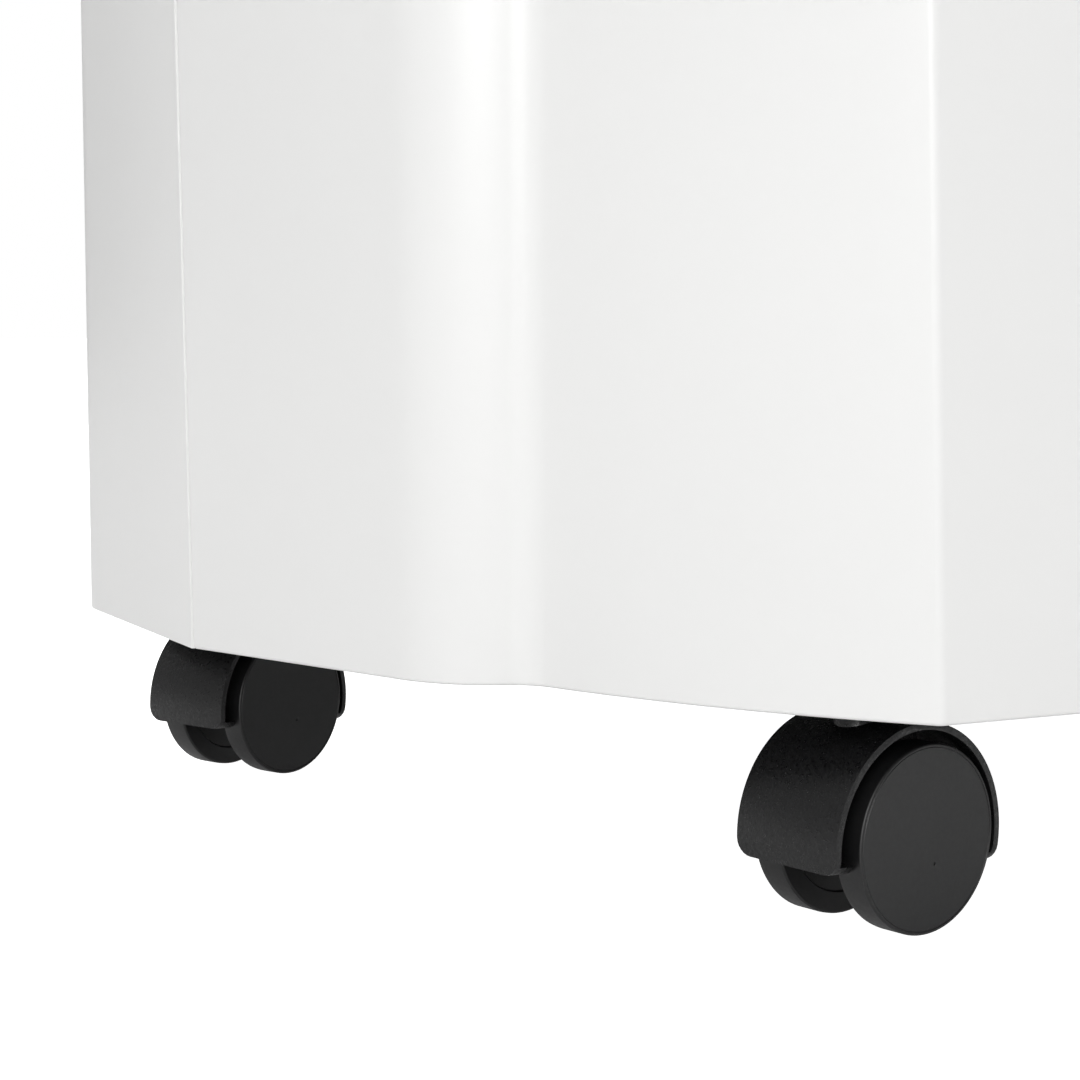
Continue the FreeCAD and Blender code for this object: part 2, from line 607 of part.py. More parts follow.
def tank_lid():
    """The bin's lid, with ears for the bail, lugs for the float and a hole for the drips."""
    plate = block(("-bin_half", "bin_half"), ("bin_front", "bin_back"), ("bin_top", "bin_top + lid_thickness"))
    ears = [block(span(side, "ear_inner", "ear_outer"), ("bail_pivot_y - ear_half", "bail_pivot_y + ear_half"),
                  ("bin_top + 1", "ear_top")) for side in (-1, 1)]
    lug_far = "float_lug_half + float_lug_wall"
    lugs = [block((f"float_x + {low}", f"float_x + {high}"), ("float_pivot_y - 5", "float_pivot_y + 5"),
                  ("float_pivot_z - 5", "bin_top + 1"))
            for low, high in ((f"-({lug_far})", "-float_lug_half"), ("float_lug_half", lug_far))]
    hole = rod("drip_hole", "lid_thickness + 4", ("0", "drip_y", "bin_top - 2"))
    bail_bore = rod("pin_radius + running_gap", "2*ear_outer + 4",
                    ("-ear_outer - 2", "bail_pivot_y", "bail_pivot_z"), X_AXIS)
    float_bore = rod("pin_radius + running_gap", "2*float_lug_half + 10",
                     ("float_x - float_lug_half - 5", "float_pivot_y", "float_pivot_z"), X_AXIS)
    node(cut(fuse(plate, *ears, *lugs), hole, bail_bore, float_bore), "tank_lid")


def tank_handle():
    """A folding bail: two arms, a bar between them and a pivot pin at the root of each arm."""
    bar_y = "bail_pivot_y - bail_reach"
    bar = rod("bail_radius", "2*bail_half", ("-bail_half", bar_y, "bail_pivot_z"), X_AXIS)
    pieces = [bar]
    for side in (-1, 1):
        pieces.append(rod("bail_radius", "bail_reach", (f"{side}*bail_half", bar_y, "bail_pivot_z"), Y_AXIS))
        pieces.append(ball("bail_radius", (f"{side}*bail_half", bar_y, "bail_pivot_z")))
        pieces.append(ball("bail_radius", (f"{side}*bail_half", "bail_pivot_y", "bail_pivot_z")))
        low, high = span(side, "bail_half", "ear_outer - 0.5")
        pieces.append(rod("pin_radius", f"{high} - ({low})", (low, "bail_pivot_y", "bail_pivot_z"), X_AXIS))
    node(fuse(*pieces), "tank_handle")


def tank_float():
    """A foam float on a sloping arm that swings on a pin under the lid."""
    drop = math.degrees(math.atan2(size("float_pivot_z") - size("float_top") + 3,
                                   size("float_front") - size("float_pivot_y")))
    arm = doc.addObject("Part::Box", "Arm")
    bind(arm, Length="2*float_arm_half", Width="float_front - float_pivot_y + 12", Height="6")
    place(arm, ("float_x - float_arm_half", "float_pivot_y - 2", "float_pivot_z - 3"),
          FreeCAD.Rotation(X_AXIS, -drop))
    pin = rod("pin_radius", "2*float_lug_half + 2*float_lug_wall", ("float_x - float_lug_half - float_lug_wall",
                                                                  "float_pivot_y", "float_pivot_z"), X_AXIS)
    foam = block(("float_x - float_half", "float_x + float_half"), ("float_front", "float_back"),
                 ("float_bottom", "float_top"))
    node(fuse(arm, pin, foam), "tank_float")


def float_switch():
    """A reed switch on the bay's front wall, level with the float when the tank is full."""
    node(block(("float_x - switch_half", "float_x + switch_half"), ("tray_front + tray_wall", "bin_front - 2"),
               ("bin_top - 30", "bin_top - 10")), "float_switch")


# ---------------------------------------------------------------- drip tray, drain and inlet bush

def drip_tray():
    """The deck under the coils: a shallow tray with a drip spout, on a wall that closes the tank bay."""
    plan = size("shell_wall") + size("pan_gap")
    floor = size("pan_bottom") + size("pan_thickness")
    bottom, top = size("tray_bottom"), size("tray_top")
    across = ("-cabinet_width/2", "cabinet_width/2")
    outer = common(feature(leaning(whole_outline, bottom, top, inset=plan)),
                   block(across, ("tray_front", "tray_back"), (bottom, top)))
    hollow = common(feature(leaning(whole_outline, bottom, top + 2, inset=plan + size("tray_wall"))),
                    block(across, ("tray_front + tray_wall", "tray_back - tray_wall"),
                          ("tray_bottom + tray_floor", "tray_top + 1")))
    wall = common(feature(leaning(whole_outline, floor, bottom + 1, inset=plan)),
                  block(across, ("tray_front", "tray_front + tray_wall"), (floor, bottom + 1)))
    spout = rod("spout_radius", "tray_bottom - spout_drop + 1", ("0", "drip_y", "spout_drop"))
    spout_bore = rod("spout_bore", "20", ("0", "drip_y", "spout_drop - 2"))
    outlet = rod("drain_root", "tray_wall + 4", ("drain_x", "tray_back - tray_wall - 2", "drain_z"), Y_AXIS)
    node(cut(fuse(outer, wall, spout), hollow, spout_bore, outlet), "drip_tray")


def drain():
    """A short tube from the tray to the back, stepped up to take a hose, and its rubber plug."""
    start = "tray_back - tray_wall"
    root = rod("drain_root", f"drain_end - ({start})", ("drain_x", start, "drain_z"), Y_AXIS)
    step = ("drain_x", "drain_end - drain_reach", "drain_z")
    tube = rod("spout_radius", "drain_reach", step, Y_AXIS)
    bore = rod("spout_bore", f"drain_end - ({start}) + 2", ("drain_x", f"{start} - 1", "drain_z"), Y_AXIS)
    node(cut(fuse(root, tube), bore), "drain_spout")
    stopper = rod("spout_bore - running_gap", "drain_reach", step, Y_AXIS)
    flange = rod("plug_radius", "cabinet_depth/2 - drain_end", ("drain_x", "drain_end", "drain_z"), Y_AXIS)
    node(fuse(stopper, flange), "drain_plug")


def inlet_bush():
    """The rubber bush that a mains lead comes through."""
    back = "cabinet_depth/2"
    body = rod("gland_radius - 0.1", "8", ("gland_x", f"{back} - 8.2", "drain_z"), Y_AXIS)
    flange = rod("gland_flange", "3", ("gland_x", f"{back} - shell_wall - 3", "drain_z"), Y_AXIS)
    bore = rod("gland_bore", "12", ("gland_x", f"{back} - 10", "drain_z"), Y_AXIS)
    node(cut(fuse(body, flange), bore), "cord_gland")


def case_screws():
    """Six screws that hold the back to its frame."""
    pieces = []
    for side in (-1, 1):
        for height in SCREW_HEIGHTS:
            x = f"{side}*screw_x"
            head = rod("screw_head", "1.3", (x, "cabinet_depth/2 - 1.5", height), Y_AXIS)
            shank = rod("screw_shank", "cabinet_depth/2 - 1.5 - screw_end", (x, "screw_end", height), Y_AXIS)
            pieces.append(fuse(head, shank))
    node(group(pieces), "case_screws")


# ---------------------------------------------------------------- cooling circuit

def bent_path(corners, radius):
    """A wire of straight runs joined by tangent arcs of one radius."""
    edges, previous = [], corners[0]
    for before, corner, after in zip(corners, corners[1:], corners[2:]):
        back, ahead = (before - corner).normalize(), (after - corner).normalize()
        half = back.getAngle(ahead) / 2
        start, end = corner + back * (radius / math.tan(half)), corner + ahead * (radius / math.tan(half))
        middle = corner + (back + ahead).normalize() * (radius / math.sin(half) - radius)
        edges.append(Part.LineSegment(previous, start).toShape())
        edges.append(Part.Arc(start, middle, end).toShape())
        previous = end
    edges.append(Part.LineSegment(previous, corners[-1]).toShape())
    return Part.Wire(edges)


def tube_along(corners, radius, bend):
    """A round tube, modelled solid, swept along a bent path."""
    path = bent_path(corners, bend)
    start, heading = corners[0], corners[1] - corners[0]
    ring = Part.Wire(Part.makeCircle(radius, start, heading))
    return path.makePipeShell([ring], True, False)


def coil_rows():
    """Heights of the straight tube runs in a coil."""
    return [size("tube_low") + row * size("tube_pitch") for row in range(6)]


def coil(label, middle, side):
    """A pack of upright fins and one tube that winds through them, starting on one side."""
    low, high, half, depth = size("coil_low"), size("coil_high"), size("coil_half"), size("coil_depth")
    count = int(2 * half / size("fin_pitch")) + 1
    hole = size("tube_radius") + size("fin_hole_gap")
    holes = [Part.makeCylinder(hole, 2 * half + 2, V(-half - 1, middle, height), X_AXIS)
             for height in coil_rows()]
    fins = []
    for index in range(count):
        x = -half + index * size("fin_pitch")
        plate = Part.makeBox(size("fin_thickness"), depth, high - low, V(x, middle - depth / 2, low))
        fins.append(plate.cut(holes))
    node(feature(Part.makeCompound(fins)), f"{label}_fins")
    corners = [V(side * size("tube_end"), middle, coil_rows()[0])]
    for row, height in enumerate(coil_rows()):
        turn = side * (-1) ** (row + 1) * (size("tube_end") + size("bend_radius"))
        if row > 0:
            corners.append(V(-turn, middle, height))
        if row < len(coil_rows()) - 1:
            corners.append(V(turn, middle, height))
    corners.append(V(side * size("tube_end"), middle, coil_rows()[-1]))
    node(feature(tube_along(corners, size("tube_radius"), size("bend_radius"))), f"{label}_tubes")


def refrigerant_pipes():
    """Hot and cold pipes from the compressor to the coils, and the thin capillary between the coils."""
    port_z = size("compressor_top") - 2
    coil_end = size("tube_end") + size("running_gap")
    pieces = []
    for side, coil_y in ((1, size("condenser_y")), (-1, size("evaporator_y"))):
        port, reach = side * size("compressor_port_x"), side * size("pipe_x")
        corners = [V(port, size("compressor_y"), port_z + 12), V(port, size("compressor_y"), size("pipe_z")),
                   V(reach, size("compressor_y"), size("pipe_z")), V(reach, coil_y, size("pipe_z")),
                   V(reach, coil_y, size("tube_low")), V(side * coil_end, coil_y, size("tube_low"))]
        pieces.append(tube_along(corners, size("tube_radius"), 6))
    edge, top, last = size("capillary_x"), size("capillary_z"), coil_rows()[-1]
    corners = [V(size("tube_end"), size("condenser_y"), last), V(edge, size("condenser_y"), last),
               V(edge, size("condenser_y"), top), V(-edge, size("evaporator_y"), top),
               V(-edge, size("evaporator_y"), last), V(-size("tube_end"), size("evaporator_y"), last)]
    pieces.append(tube_along(corners, size("capillary_radius"), 8))
    node(feature(Part.makeCompound(pieces)), "refrigerant_pipes")


def compressor():
    """A welded steel can with a domed top and a three-armed foot plate, on rubber mounts."""
    shell_height = "compressor_top - compressor_bottom"
    body = turned_body([("0", "0"), ("compressor_radius", "0"), ("compressor_radius", shell_height),
                        ("0", shell_height)])
    rounded(body, "compressor_dome", lambda edge: edge.BoundBox.YMin > value_of(shell_height) - 0.01
            and edge.BoundBox.XLength > size("compressor_radius"))
    can = place(body, ("0", "compressor_y", "compressor_bottom"), FreeCAD.Rotation(X_AXIS, 90))
    plate = rod("foot_circle + foot_radius", "compressor_bottom - foot_top", ("0", "compressor_y", "foot_top"))
    ports = [rod("tube_radius", "16", (f"{side}*compressor_port_x", "compressor_y", "compressor_top - 6"))
             for side in (-1, 1)]
    node(fuse(can, plate, *ports), "compressor")
    floor = "pan_bottom + pan_thickness"
    feet = []
    for turn in (90, 210, 330):
        x, y = f"foot_circle*cos({turn})", f"compressor_y + foot_circle*sin({turn})"
        feet.append(rod("foot_radius", f"foot_top - ({floor})", (x, y, floor)))
    node(group(feet), "compressor_feet")


# ---------------------------------------------------------------- fan

def fan_scroll():
    """A round housing that opens upwards into a rectangular duct."""
    def chamber(radius, front, back, top):
        ring = rod(radius, f"{back} - ({front})", ("0", front, "fan_z"), Y_AXIS)
        duct = block((f"-({radius})", radius), (front, back), ("fan_z", top))
        return fuse(ring, duct)
    outer = chamber("scroll_radius", "scroll_front", "scroll_back", "scroll_top")
    inner = chamber("scroll_radius - scroll_wall", "scroll_front + scroll_wall", "scroll_back - scroll_wall",
                    "scroll_top + 1")
    inlet = rod("scroll_inlet", "10", ("0", "scroll_back - 6", "fan_z"), Y_AXIS)
    shaft_hole = rod("impeller_hub", "10", ("0", "scroll_front - 3", "fan_z"), Y_AXIS)
    node(cut(outer, inner, inlet, shaft_hole), "fan_scroll")


def fan_motor():
    """The motor in front of the scroll and the shaft that runs from it into the wheel."""
    can = rod("motor_radius", "scroll_front - motor_front", ("0", "motor_front", "fan_z"), Y_AXIS)
    bore = rod("shaft_radius + running_gap", "scroll_front - shaft_front + 2",
               ("0", "shaft_front - 1", "fan_z"), Y_AXIS)
    node(cut(can, bore), "fan_motor")
    node(rod("shaft_radius", "shaft_back - shaft_front", ("0", "shaft_front", "fan_z"), Y_AXIS), "fan_shaft")


def fan_impeller():
    """A squirrel-cage wheel: hub, back plate, a ring of tilted blades and an end ring."""
    front, back, centre = size("impeller_front"), size("impeller_back"), V(0, 0, size("fan_z"))
    outer, inner, plate = size("impeller_radius"), size("impeller_inner"), size("impeller_plate")
    disc = Part.makeCylinder(outer, plate, centre + V(0, front, 0), Y_AXIS)
    hub = Part.makeCylinder(size("impeller_hub") - 1, 20, centre + V(0, front, 0), Y_AXIS)
    ring = Part.makeCylinder(outer, plate, centre + V(0, back - plate, 0), Y_AXIS)
    ring = ring.cut(Part.makeCylinder(inner + 6, plate, centre + V(0, back - plate, 0), Y_AXIS))
    blade = Part.makeBox(outer - inner, back - front - 2, size("blade_thickness"), V(inner, front + 1, 0))
    blade.rotate(V(inner, 0, 0), Y_AXIS, 18)
    blade.translate(V(-1.5, 0, size("fan_z")))
    count = int(size("blade_count"))
    wheel = disc.fuse([hub, ring])
    blades = []
    for index in range(count):
        turned = blade.copy()
        turned.rotate(centre, Y_AXIS, 360 * index / count)
        blades.append(turned)
    wheel = wheel.fuse(blades)
    bore = Part.makeCylinder(size("shaft_radius"), back, centre + V(0, front - 5, 0), Y_AXIS)
    node(feature(wheel.cut(bore)), "fan_impeller")


# ---------------------------------------------------------------- casters

def wheel(label, x, y, heading, side):
    """A moulded wheel on a blind bore, its outer face slightly dished inside a raised rim."""
    start, end = "wheel_inner_face", "wheel_outer_face"
    body = turned_body([
        ("axle_radius + running_gap", start), ("wheel_radius", start), ("wheel_radius", end), ("wheel_rim", end),
        ("wheel_rim", f"{end} - wheel_dish"), ("hub_radius", f"{end} - wheel_dish"),
        ("hub_radius", f"{end} - wheel_dish + hub_rise"), ("0", f"{end} - wheel_dish + hub_rise"),
        ("0", "axle_half + 0.4"), ("axle_radius + running_gap", "axle_half + 0.4")])
    rounded(body, "wheel_edge", lambda edge: abs(edge.BoundBox.XLength - 2 * size("wheel_radius")) < 0.01
            and edge.BoundBox.YLength < 0.01)
    turn = FreeCAD.Rotation(Z_AXIS, heading + (0 if side > 0 else 180))
    spot = (f"{x} + caster_trail*cos({heading})", f"{y} + caster_trail*sin({heading})", "wheel_radius")
    node(place(body, spot, turn), label)


def caster_frame(pieces, x, y, heading):
    """Place a piece drawn about its stem at its corner, trailing along a heading."""
    return place(pieces, (x, y, "0"), FreeCAD.Rotation(Z_AXIS, heading))


def hood(label, x, y, heading):
    """The caster's body: an arched hood over both wheels, turned in at its lower ends to meet them.

    A thin web stands between the wheels, carries the axle and rises into the neck that holds the stem.
    """
    middle, centre_z = "caster_trail - hood_back", "wheel_radius - hood_drop"

    def drum(radius, half):
        return rod(radius, f"2*({half})", (middle, f"-({half})", centre_z), Y_AXIS)

    def below(depth):
        slab = block(("0", "2*slab_reach"), ("0", "2*slab_reach"), ("0", "slab_reach"))
        return place(slab, ("caster_trail - slab_reach*(cos(hood_slope) + sin(hood_slope))", "-slab_reach",
                            f"wheel_radius - ({depth}) - slab_reach*(cos(hood_slope) - sin(hood_slope))"),
                     FreeCAD.Rotation(Y_AXIS, size("hood_slope")))
    cavity = cut(drum("hood_radius - hood_wall", "hood_half + 1"), below("hood_edge - hood_lip"))
    wheels = rod("wheel_room", "2*hood_half + 2", ("caster_trail", "-hood_half - 1", "wheel_radius"), Y_AXIS)
    arch = cut(drum("hood_radius", "hood_half"), cavity, wheels)
    boss = rod("hub_boss", "2*web_half", ("caster_trail", "-web_half", "wheel_radius"), Y_AXIS)
    web = common(drum("hood_radius - 1", "web_half"),
                 block(("caster_trail - 14", "caster_trail + 9"), ("-web_half", "web_half"),
                       ("wheel_radius", "wheel_radius + hood_radius")))
    neck = rod("neck_radius", "neck_top - wheel_radius - 2", ("0", "0", "wheel_radius + 2"))
    stem_bore = rod("stem_radius", "30", ("0", "0", "stem_bottom"))
    axle_bore = rod("axle_radius", "40", ("caster_trail", "-20", "wheel_radius"), Y_AXIS)
    solid = cut(fuse(cut(arch, below("hood_edge")), boss, web, neck), stem_bore, axle_bore)
    node(caster_frame(solid, x, y, heading), label)


def caster(corner, x, y, heading):
    """A hood on a stem, with a wheel on each end of the axle."""
    hood(f"caster_hood_{corner}", x, y, heading)
    node(rod("stem_radius", "stem_top - stem_bottom", (x, y, "stem_bottom")), f"caster_stem_{corner}")
    axle = rod("axle_radius", "2*axle_half", ("caster_trail", "-axle_half", "wheel_radius"), Y_AXIS)
    node(caster_frame(group([axle]), x, y, heading), f"caster_axle_{corner}")
    outer_side = -1 if corner.endswith("left") else 1
    wheel(f"wheel_{corner}_outer", x, y, heading, outer_side)
    wheel(f"wheel_{corner}_inner", x, y, heading, -outer_side)


# ---------------------------------------------------------------- assembly

def build():
    """Make every piece."""
    front_shell()
    rear_shell()
    base_pan()
    top_cover()
    control_panel()
    for label, x in button_places().items():
        push_button(label, x)
    outlet_louvre()
    intake_grille()
    air_filter()
    grip_cup(-1, "grip_cup_left")
    grip_cup(1, "grip_cup_right")
    tank_bin()
    tank_face()
    tank_lid()
    tank_handle()
    tank_float()
    float_switch()
    drip_tray()
    drain()
    inlet_bush()
    case_screws()
    coil("evaporator", size("evaporator_y"), -1)
    coil("condenser", size("condenser_y"), 1)
    refrigerant_pipes()
    compressor()
    fan_scroll()
    fan_motor()
    fan_impeller()
    for corner, (x, y, heading) in stem_spots().items():
        caster(corner, x, y, heading)


def check_and_export():
    """Stop on any failed object, then write each piece as its own STEP file."""
    doc.recompute()
    for item in doc.Objects:
        if "Invalid" in item.State or "Error" in item.State:
            raise RuntimeError(f"{item.Label} ({item.TypeId}) failed: {item.State}")
    for piece in nodes:
        if piece.Shape.isNull() or not piece.Shape.isValid() or not piece.Shape.Solids:
            raise RuntimeError(f"{piece.Label} has no valid solid")
    os.makedirs("parts", exist_ok=True)
    for piece in nodes:
        piece.Shape.exportStep(f"parts/{piece.Label}.step")
        box = piece.Shape.BoundBox
        print(f"{piece.Label:26s} {len(piece.Shape.Solids)} solids {piece.Shape.Volume / 1000:9.1f} cm3",
              f"x {box.XMin:.1f}..{box.XMax:.1f}", f"y {box.YMin:.1f}..{box.YMax:.1f}",
              f"z {box.ZMin:.1f}..{box.ZMax:.1f}", sep="  ")
    print(len(nodes), "pieces")


build()
check_and_export()
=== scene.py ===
"""Dehumidifier on four twin-wheel casters: its visible surfaces, finishes, studio light and camera.

Every length is in metres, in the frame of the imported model: +Z up, front towards -Y.
"""
import json
import logging
import math
from collections.abc import Callable, Iterable, Iterator, Sequence
from contextlib import contextmanager
from dataclasses import dataclass, field
from enum import Enum

import bmesh
import bpy
from mathutils import Matrix, Vector
from mathutils.kdtree import KDTree

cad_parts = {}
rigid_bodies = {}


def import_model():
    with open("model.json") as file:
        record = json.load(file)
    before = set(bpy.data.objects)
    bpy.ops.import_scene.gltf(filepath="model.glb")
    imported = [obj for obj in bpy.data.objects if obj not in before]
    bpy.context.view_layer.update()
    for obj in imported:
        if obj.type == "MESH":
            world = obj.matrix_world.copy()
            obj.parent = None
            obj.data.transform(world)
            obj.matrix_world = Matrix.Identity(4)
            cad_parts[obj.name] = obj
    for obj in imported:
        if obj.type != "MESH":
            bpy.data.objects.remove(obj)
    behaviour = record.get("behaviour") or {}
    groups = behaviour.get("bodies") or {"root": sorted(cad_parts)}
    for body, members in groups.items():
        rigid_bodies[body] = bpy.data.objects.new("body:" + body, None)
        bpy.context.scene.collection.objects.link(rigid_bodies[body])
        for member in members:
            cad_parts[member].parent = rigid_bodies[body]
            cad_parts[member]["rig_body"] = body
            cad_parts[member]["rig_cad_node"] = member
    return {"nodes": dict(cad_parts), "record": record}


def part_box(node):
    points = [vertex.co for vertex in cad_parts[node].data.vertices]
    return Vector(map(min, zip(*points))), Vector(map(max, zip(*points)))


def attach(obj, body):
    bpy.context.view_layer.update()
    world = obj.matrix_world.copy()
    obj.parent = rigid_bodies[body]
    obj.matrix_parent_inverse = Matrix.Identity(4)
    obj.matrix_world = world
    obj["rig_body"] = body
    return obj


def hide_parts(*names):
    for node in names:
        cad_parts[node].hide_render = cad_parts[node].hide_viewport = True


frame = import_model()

LOG = logging.getLogger("dehumidifier")
MM = 0.001
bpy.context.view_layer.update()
NODE_BODY = {node: body for body, group in frame["record"]["behaviour"]["bodies"].items() for node in group}
BOTH_SIDES = (-1, 1)
SCREW_PLACES = [(side * 150 * MM, height * MM) for side in BOTH_SIDES for height in (280, 420, 555)]


# ------------------------------------------------------------------ modelling helpers

class Axis(Enum):
    """A direction of the frame that a rod or a rounded edge runs along."""

    X = 0
    Y = 1
    Z = 2

    def vector(self) -> Vector:
        """Unit vector of the axis."""
        return Vector([float(index == self.value) for index in range(3)])


def deselect_all() -> None:
    """Leave edit mode if it is on, and deselect every object."""
    if bpy.context.object and bpy.context.object.mode != "OBJECT":
        bpy.ops.object.mode_set(mode="OBJECT")
    bpy.ops.object.select_all(action="DESELECT")


def choose(piece: bpy.types.Object) -> None:
    """Make a piece the only selected object and the active one."""
    deselect_all()
    piece.select_set(True)
    bpy.context.view_layer.objects.active = piece


@contextmanager
def editing(piece: bpy.types.Object) -> Iterator[None]:
    """Edit mode on one piece, with nothing selected in its mesh.

    Args:
        piece: the mesh object to edit.
    """
    choose(piece)
    bpy.ops.object.mode_set(mode="EDIT")
    bpy.ops.mesh.select_all(action="DESELECT")
    yield
    bpy.ops.object.mode_set(mode="OBJECT")


def name_active(name: str) -> bpy.types.Object:
    """Give the newest primitive its name, and its place to its mesh."""
    piece = bpy.context.object
    piece.name = name
    piece.data.name = name
    bpy.ops.object.transform_apply(location=True, rotation=True, scale=True)
    return piece


def pick_edges(test: Callable[[Vector, Vector], bool]) -> None:
    """Select the edges whose two end points pass a test, in edit mode.

    Args:
        test: takes the two end points of an edge.
    """
    mesh = bmesh.from_edit_mesh(bpy.context.object.data)
    bpy.ops.mesh.select_mode(type="EDGE")
    for edge in mesh.edges:
        edge.select_set(test(edge.verts[0].co, edge.verts[1].co))
    bmesh.update_edit_mesh(bpy.context.object.data)


def pick_faces(test: Callable[[Vector, Vector], bool]) -> None:
    """Select the faces whose centre and normal pass a test, in edit mode.

    Args:
        test: takes the centre and the normal of a face.
    """
    mesh = bmesh.from_edit_mesh(bpy.context.object.data)
    bpy.ops.mesh.select_mode(type="FACE")
    mesh.normal_update()
    for face in mesh.faces:
        face.select_set(test(face.calc_center_median(), face.normal))
    bmesh.update_edit_mesh(bpy.context.object.data)


def pick_path(points: Iterable[Vector], closed: bool = False) -> None:
    """Add the edges of one drawn path to the selection, in edit mode.

    Args:
        points: the path's points, in order.
        closed: whether its last point joins its first.
    """
    mesh = bmesh.from_edit_mesh(bpy.context.object.data)
    mesh.verts.ensure_lookup_table()
    spots = KDTree(len(mesh.verts))
    for vertex in mesh.verts:
        spots.insert(vertex.co, vertex.index)
    spots.balance()
    path = [mesh.verts[spots.find(point)[1]] for point in points]
    ends = path[1:] + path[:1] if closed else path[1:]
    bpy.ops.mesh.select_mode(type="EDGE")
    for start, end in zip(path, ends):
        edge = mesh.edges.get((start, end))
        if edge:
            edge.select_set(True)
    bmesh.update_edit_mesh(bpy.context.object.data)


def draw_path(points: Sequence[Vector], closed: bool = False) -> None:
    """Draw a path of edges in edit mode, by extruding one vertex from point to point.

    Args:
        points: the path's points, in order.
        closed: whether to join its last point to its first.
    """
    bpy.ops.mesh.select_all(action="DESELECT")
    bpy.ops.mesh.select_mode(type="VERT")
    bpy.ops.mesh.primitive_plane_add(size=MM, location=points[0])
    bpy.ops.mesh.merge(type="CENTER")
    for start, end in zip(points, points[1:]):
        bpy.ops.mesh.extrude_region_move(TRANSFORM_OT_translate={"value": end - start})
    if closed:
        mesh = bmesh.from_edit_mesh(bpy.context.object.data)
        for vertex in mesh.verts:
            near_start = (vertex.co - points[0]).length < 1e-6
            vertex.select_set(near_start or (vertex.co - points[-1]).length < 1e-6)
        bmesh.update_edit_mesh(bpy.context.object.data)
        bpy.ops.mesh.edge_face_add()
    bpy.ops.mesh.select_all(action="DESELECT")


def skin_paths(name: str, paths: Sequence[Sequence[Vector]], closed: bool) -> bpy.types.Object:
    """A solid whose walls run from each path to the next one, and from the last back to the first.

    Args:
        name: the new piece's name.
        paths: four paths with the same number of points: outside low, outside high, inside high, inside low.
        closed: whether each path is a loop. If not, the two ends are capped.

    Returns:
        The new mesh object, with its normals pointing outwards.
    """
    deselect_all()
    bpy.ops.mesh.primitive_plane_add(size=MM)
    piece = name_active(name)
    with editing(piece):
        bpy.ops.mesh.select_all(action="SELECT")
        bpy.ops.mesh.delete(type="VERT")
        for path in paths:
            draw_path(path, closed)
        for first, second in zip(paths, [*paths[1:], paths[0]]):
            bpy.ops.mesh.select_all(action="DESELECT")
            pick_path(first, closed)
            pick_path(second, closed)
            bpy.ops.mesh.bridge_edge_loops()
        if not closed:
            for end in (0, -1):
                bpy.ops.mesh.select_all(action="DESELECT")
                pick_path([path[end] for path in paths], closed=True)
                bpy.ops.mesh.edge_face_add()
        bpy.ops.mesh.select_all(action="SELECT")
        bpy.ops.mesh.normals_make_consistent(inside=False)
    return piece


def block(name: str, low: Sequence[float], high: Sequence[float], corner: float = 0.0,
          along: Axis = Axis.Z) -> bpy.types.Object:
    """A box, with the edges along one axis rounded.

    Args:
        name: the new piece's name.
        low: its lowest corner.
        high: its highest corner.
        corner: radius of the four rounded edges.
        along: the axis that the rounded edges run along.

    Returns:
        The new mesh object.
    """
    deselect_all()
    size = [top - bottom for bottom, top in zip(low, high)]
    middle = [(top + bottom) / 2 for bottom, top in zip(low, high)]
    bpy.ops.mesh.primitive_cube_add(size=1, location=middle, scale=size)
    piece = name_active(name)
    if corner:
        with editing(piece):
            pick_edges(lambda a, b: abs((a - b).normalized().dot(along.vector())) > 0.99)
            bpy.ops.mesh.bevel(offset=corner, segments=6, affect="EDGES")
    return piece


def rod(name: str, radius: float, start: Sequence[float], length: float, along: Axis = Axis.Z,
        sides: int = 64) -> bpy.types.Object:
    """A cylinder from a point along an axis.

    Args:
        name: the new piece's name.
        radius: its radius.
        start: the middle of its first end.
        length: its length.
        along: the axis it runs along.
        sides: number of sides.

    Returns:
        The new mesh object.
    """
    deselect_all()
    middle = Vector(start) + along.vector() * (length / 2)
    turn = Vector((0, 0, 1)).rotation_difference(along.vector()).to_euler()
    bpy.ops.mesh.primitive_cylinder_add(vertices=sides, radius=radius, depth=length, location=middle,
                                        rotation=turn)
    return name_active(name)


def turned(name: str, profile: Sequence[tuple[float, float]], sides: int = 96) -> bpy.types.Object:
    """A solid spun about the Y axis.

    Args:
        name: the new piece's name.
        profile: corners as (radius, distance along Y); the first and last lie on the axis or close a bore.
        sides: number of steps in the full turn.

    Returns:
        The new mesh object.
    """
    deselect_all()
    bpy.ops.mesh.primitive_plane_add(size=MM)
    piece = name_active(name)
    with editing(piece):
        bpy.ops.mesh.select_all(action="SELECT")
        bpy.ops.mesh.delete(type="VERT")
        draw_path([Vector((radius, distance, 0)) for radius, distance in profile])
        bpy.ops.mesh.select_all(action="SELECT")
        bpy.ops.mesh.spin(steps=sides, angle=math.tau, center=(0, 0, 0), axis=(0, 1, 0))
        bpy.ops.mesh.select_all(action="SELECT")
        bpy.ops.mesh.remove_doubles(threshold=1e-6)
        bpy.ops.mesh.normals_make_consistent(inside=False)
    return piece


def combine(piece: bpy.types.Object, tools: Iterable[bpy.types.Object], operation: str) -> bpy.types.Object:
    """Cut, join or intersect a piece with tools, which are used up.

    Args:
        piece: the piece that stays.
        tools: the mesh objects to use.
        operation: DIFFERENCE, UNION or INTERSECT.

    Returns:
        The piece.
    """
    for tool in tools:
        choose(piece)
        modifier = piece.modifiers.new("Combine", "BOOLEAN")
        modifier.operation = operation
        modifier.solver = "EXACT"
        modifier.object = tool
        bpy.ops.object.modifier_apply(modifier=modifier.name)
        bpy.data.objects.remove(tool)
    return piece


def carve(piece: bpy.types.Object, tools: Iterable[bpy.types.Object]) -> bpy.types.Object:
    """Cut tools out of a piece."""
    return combine(piece, tools, "DIFFERENCE")


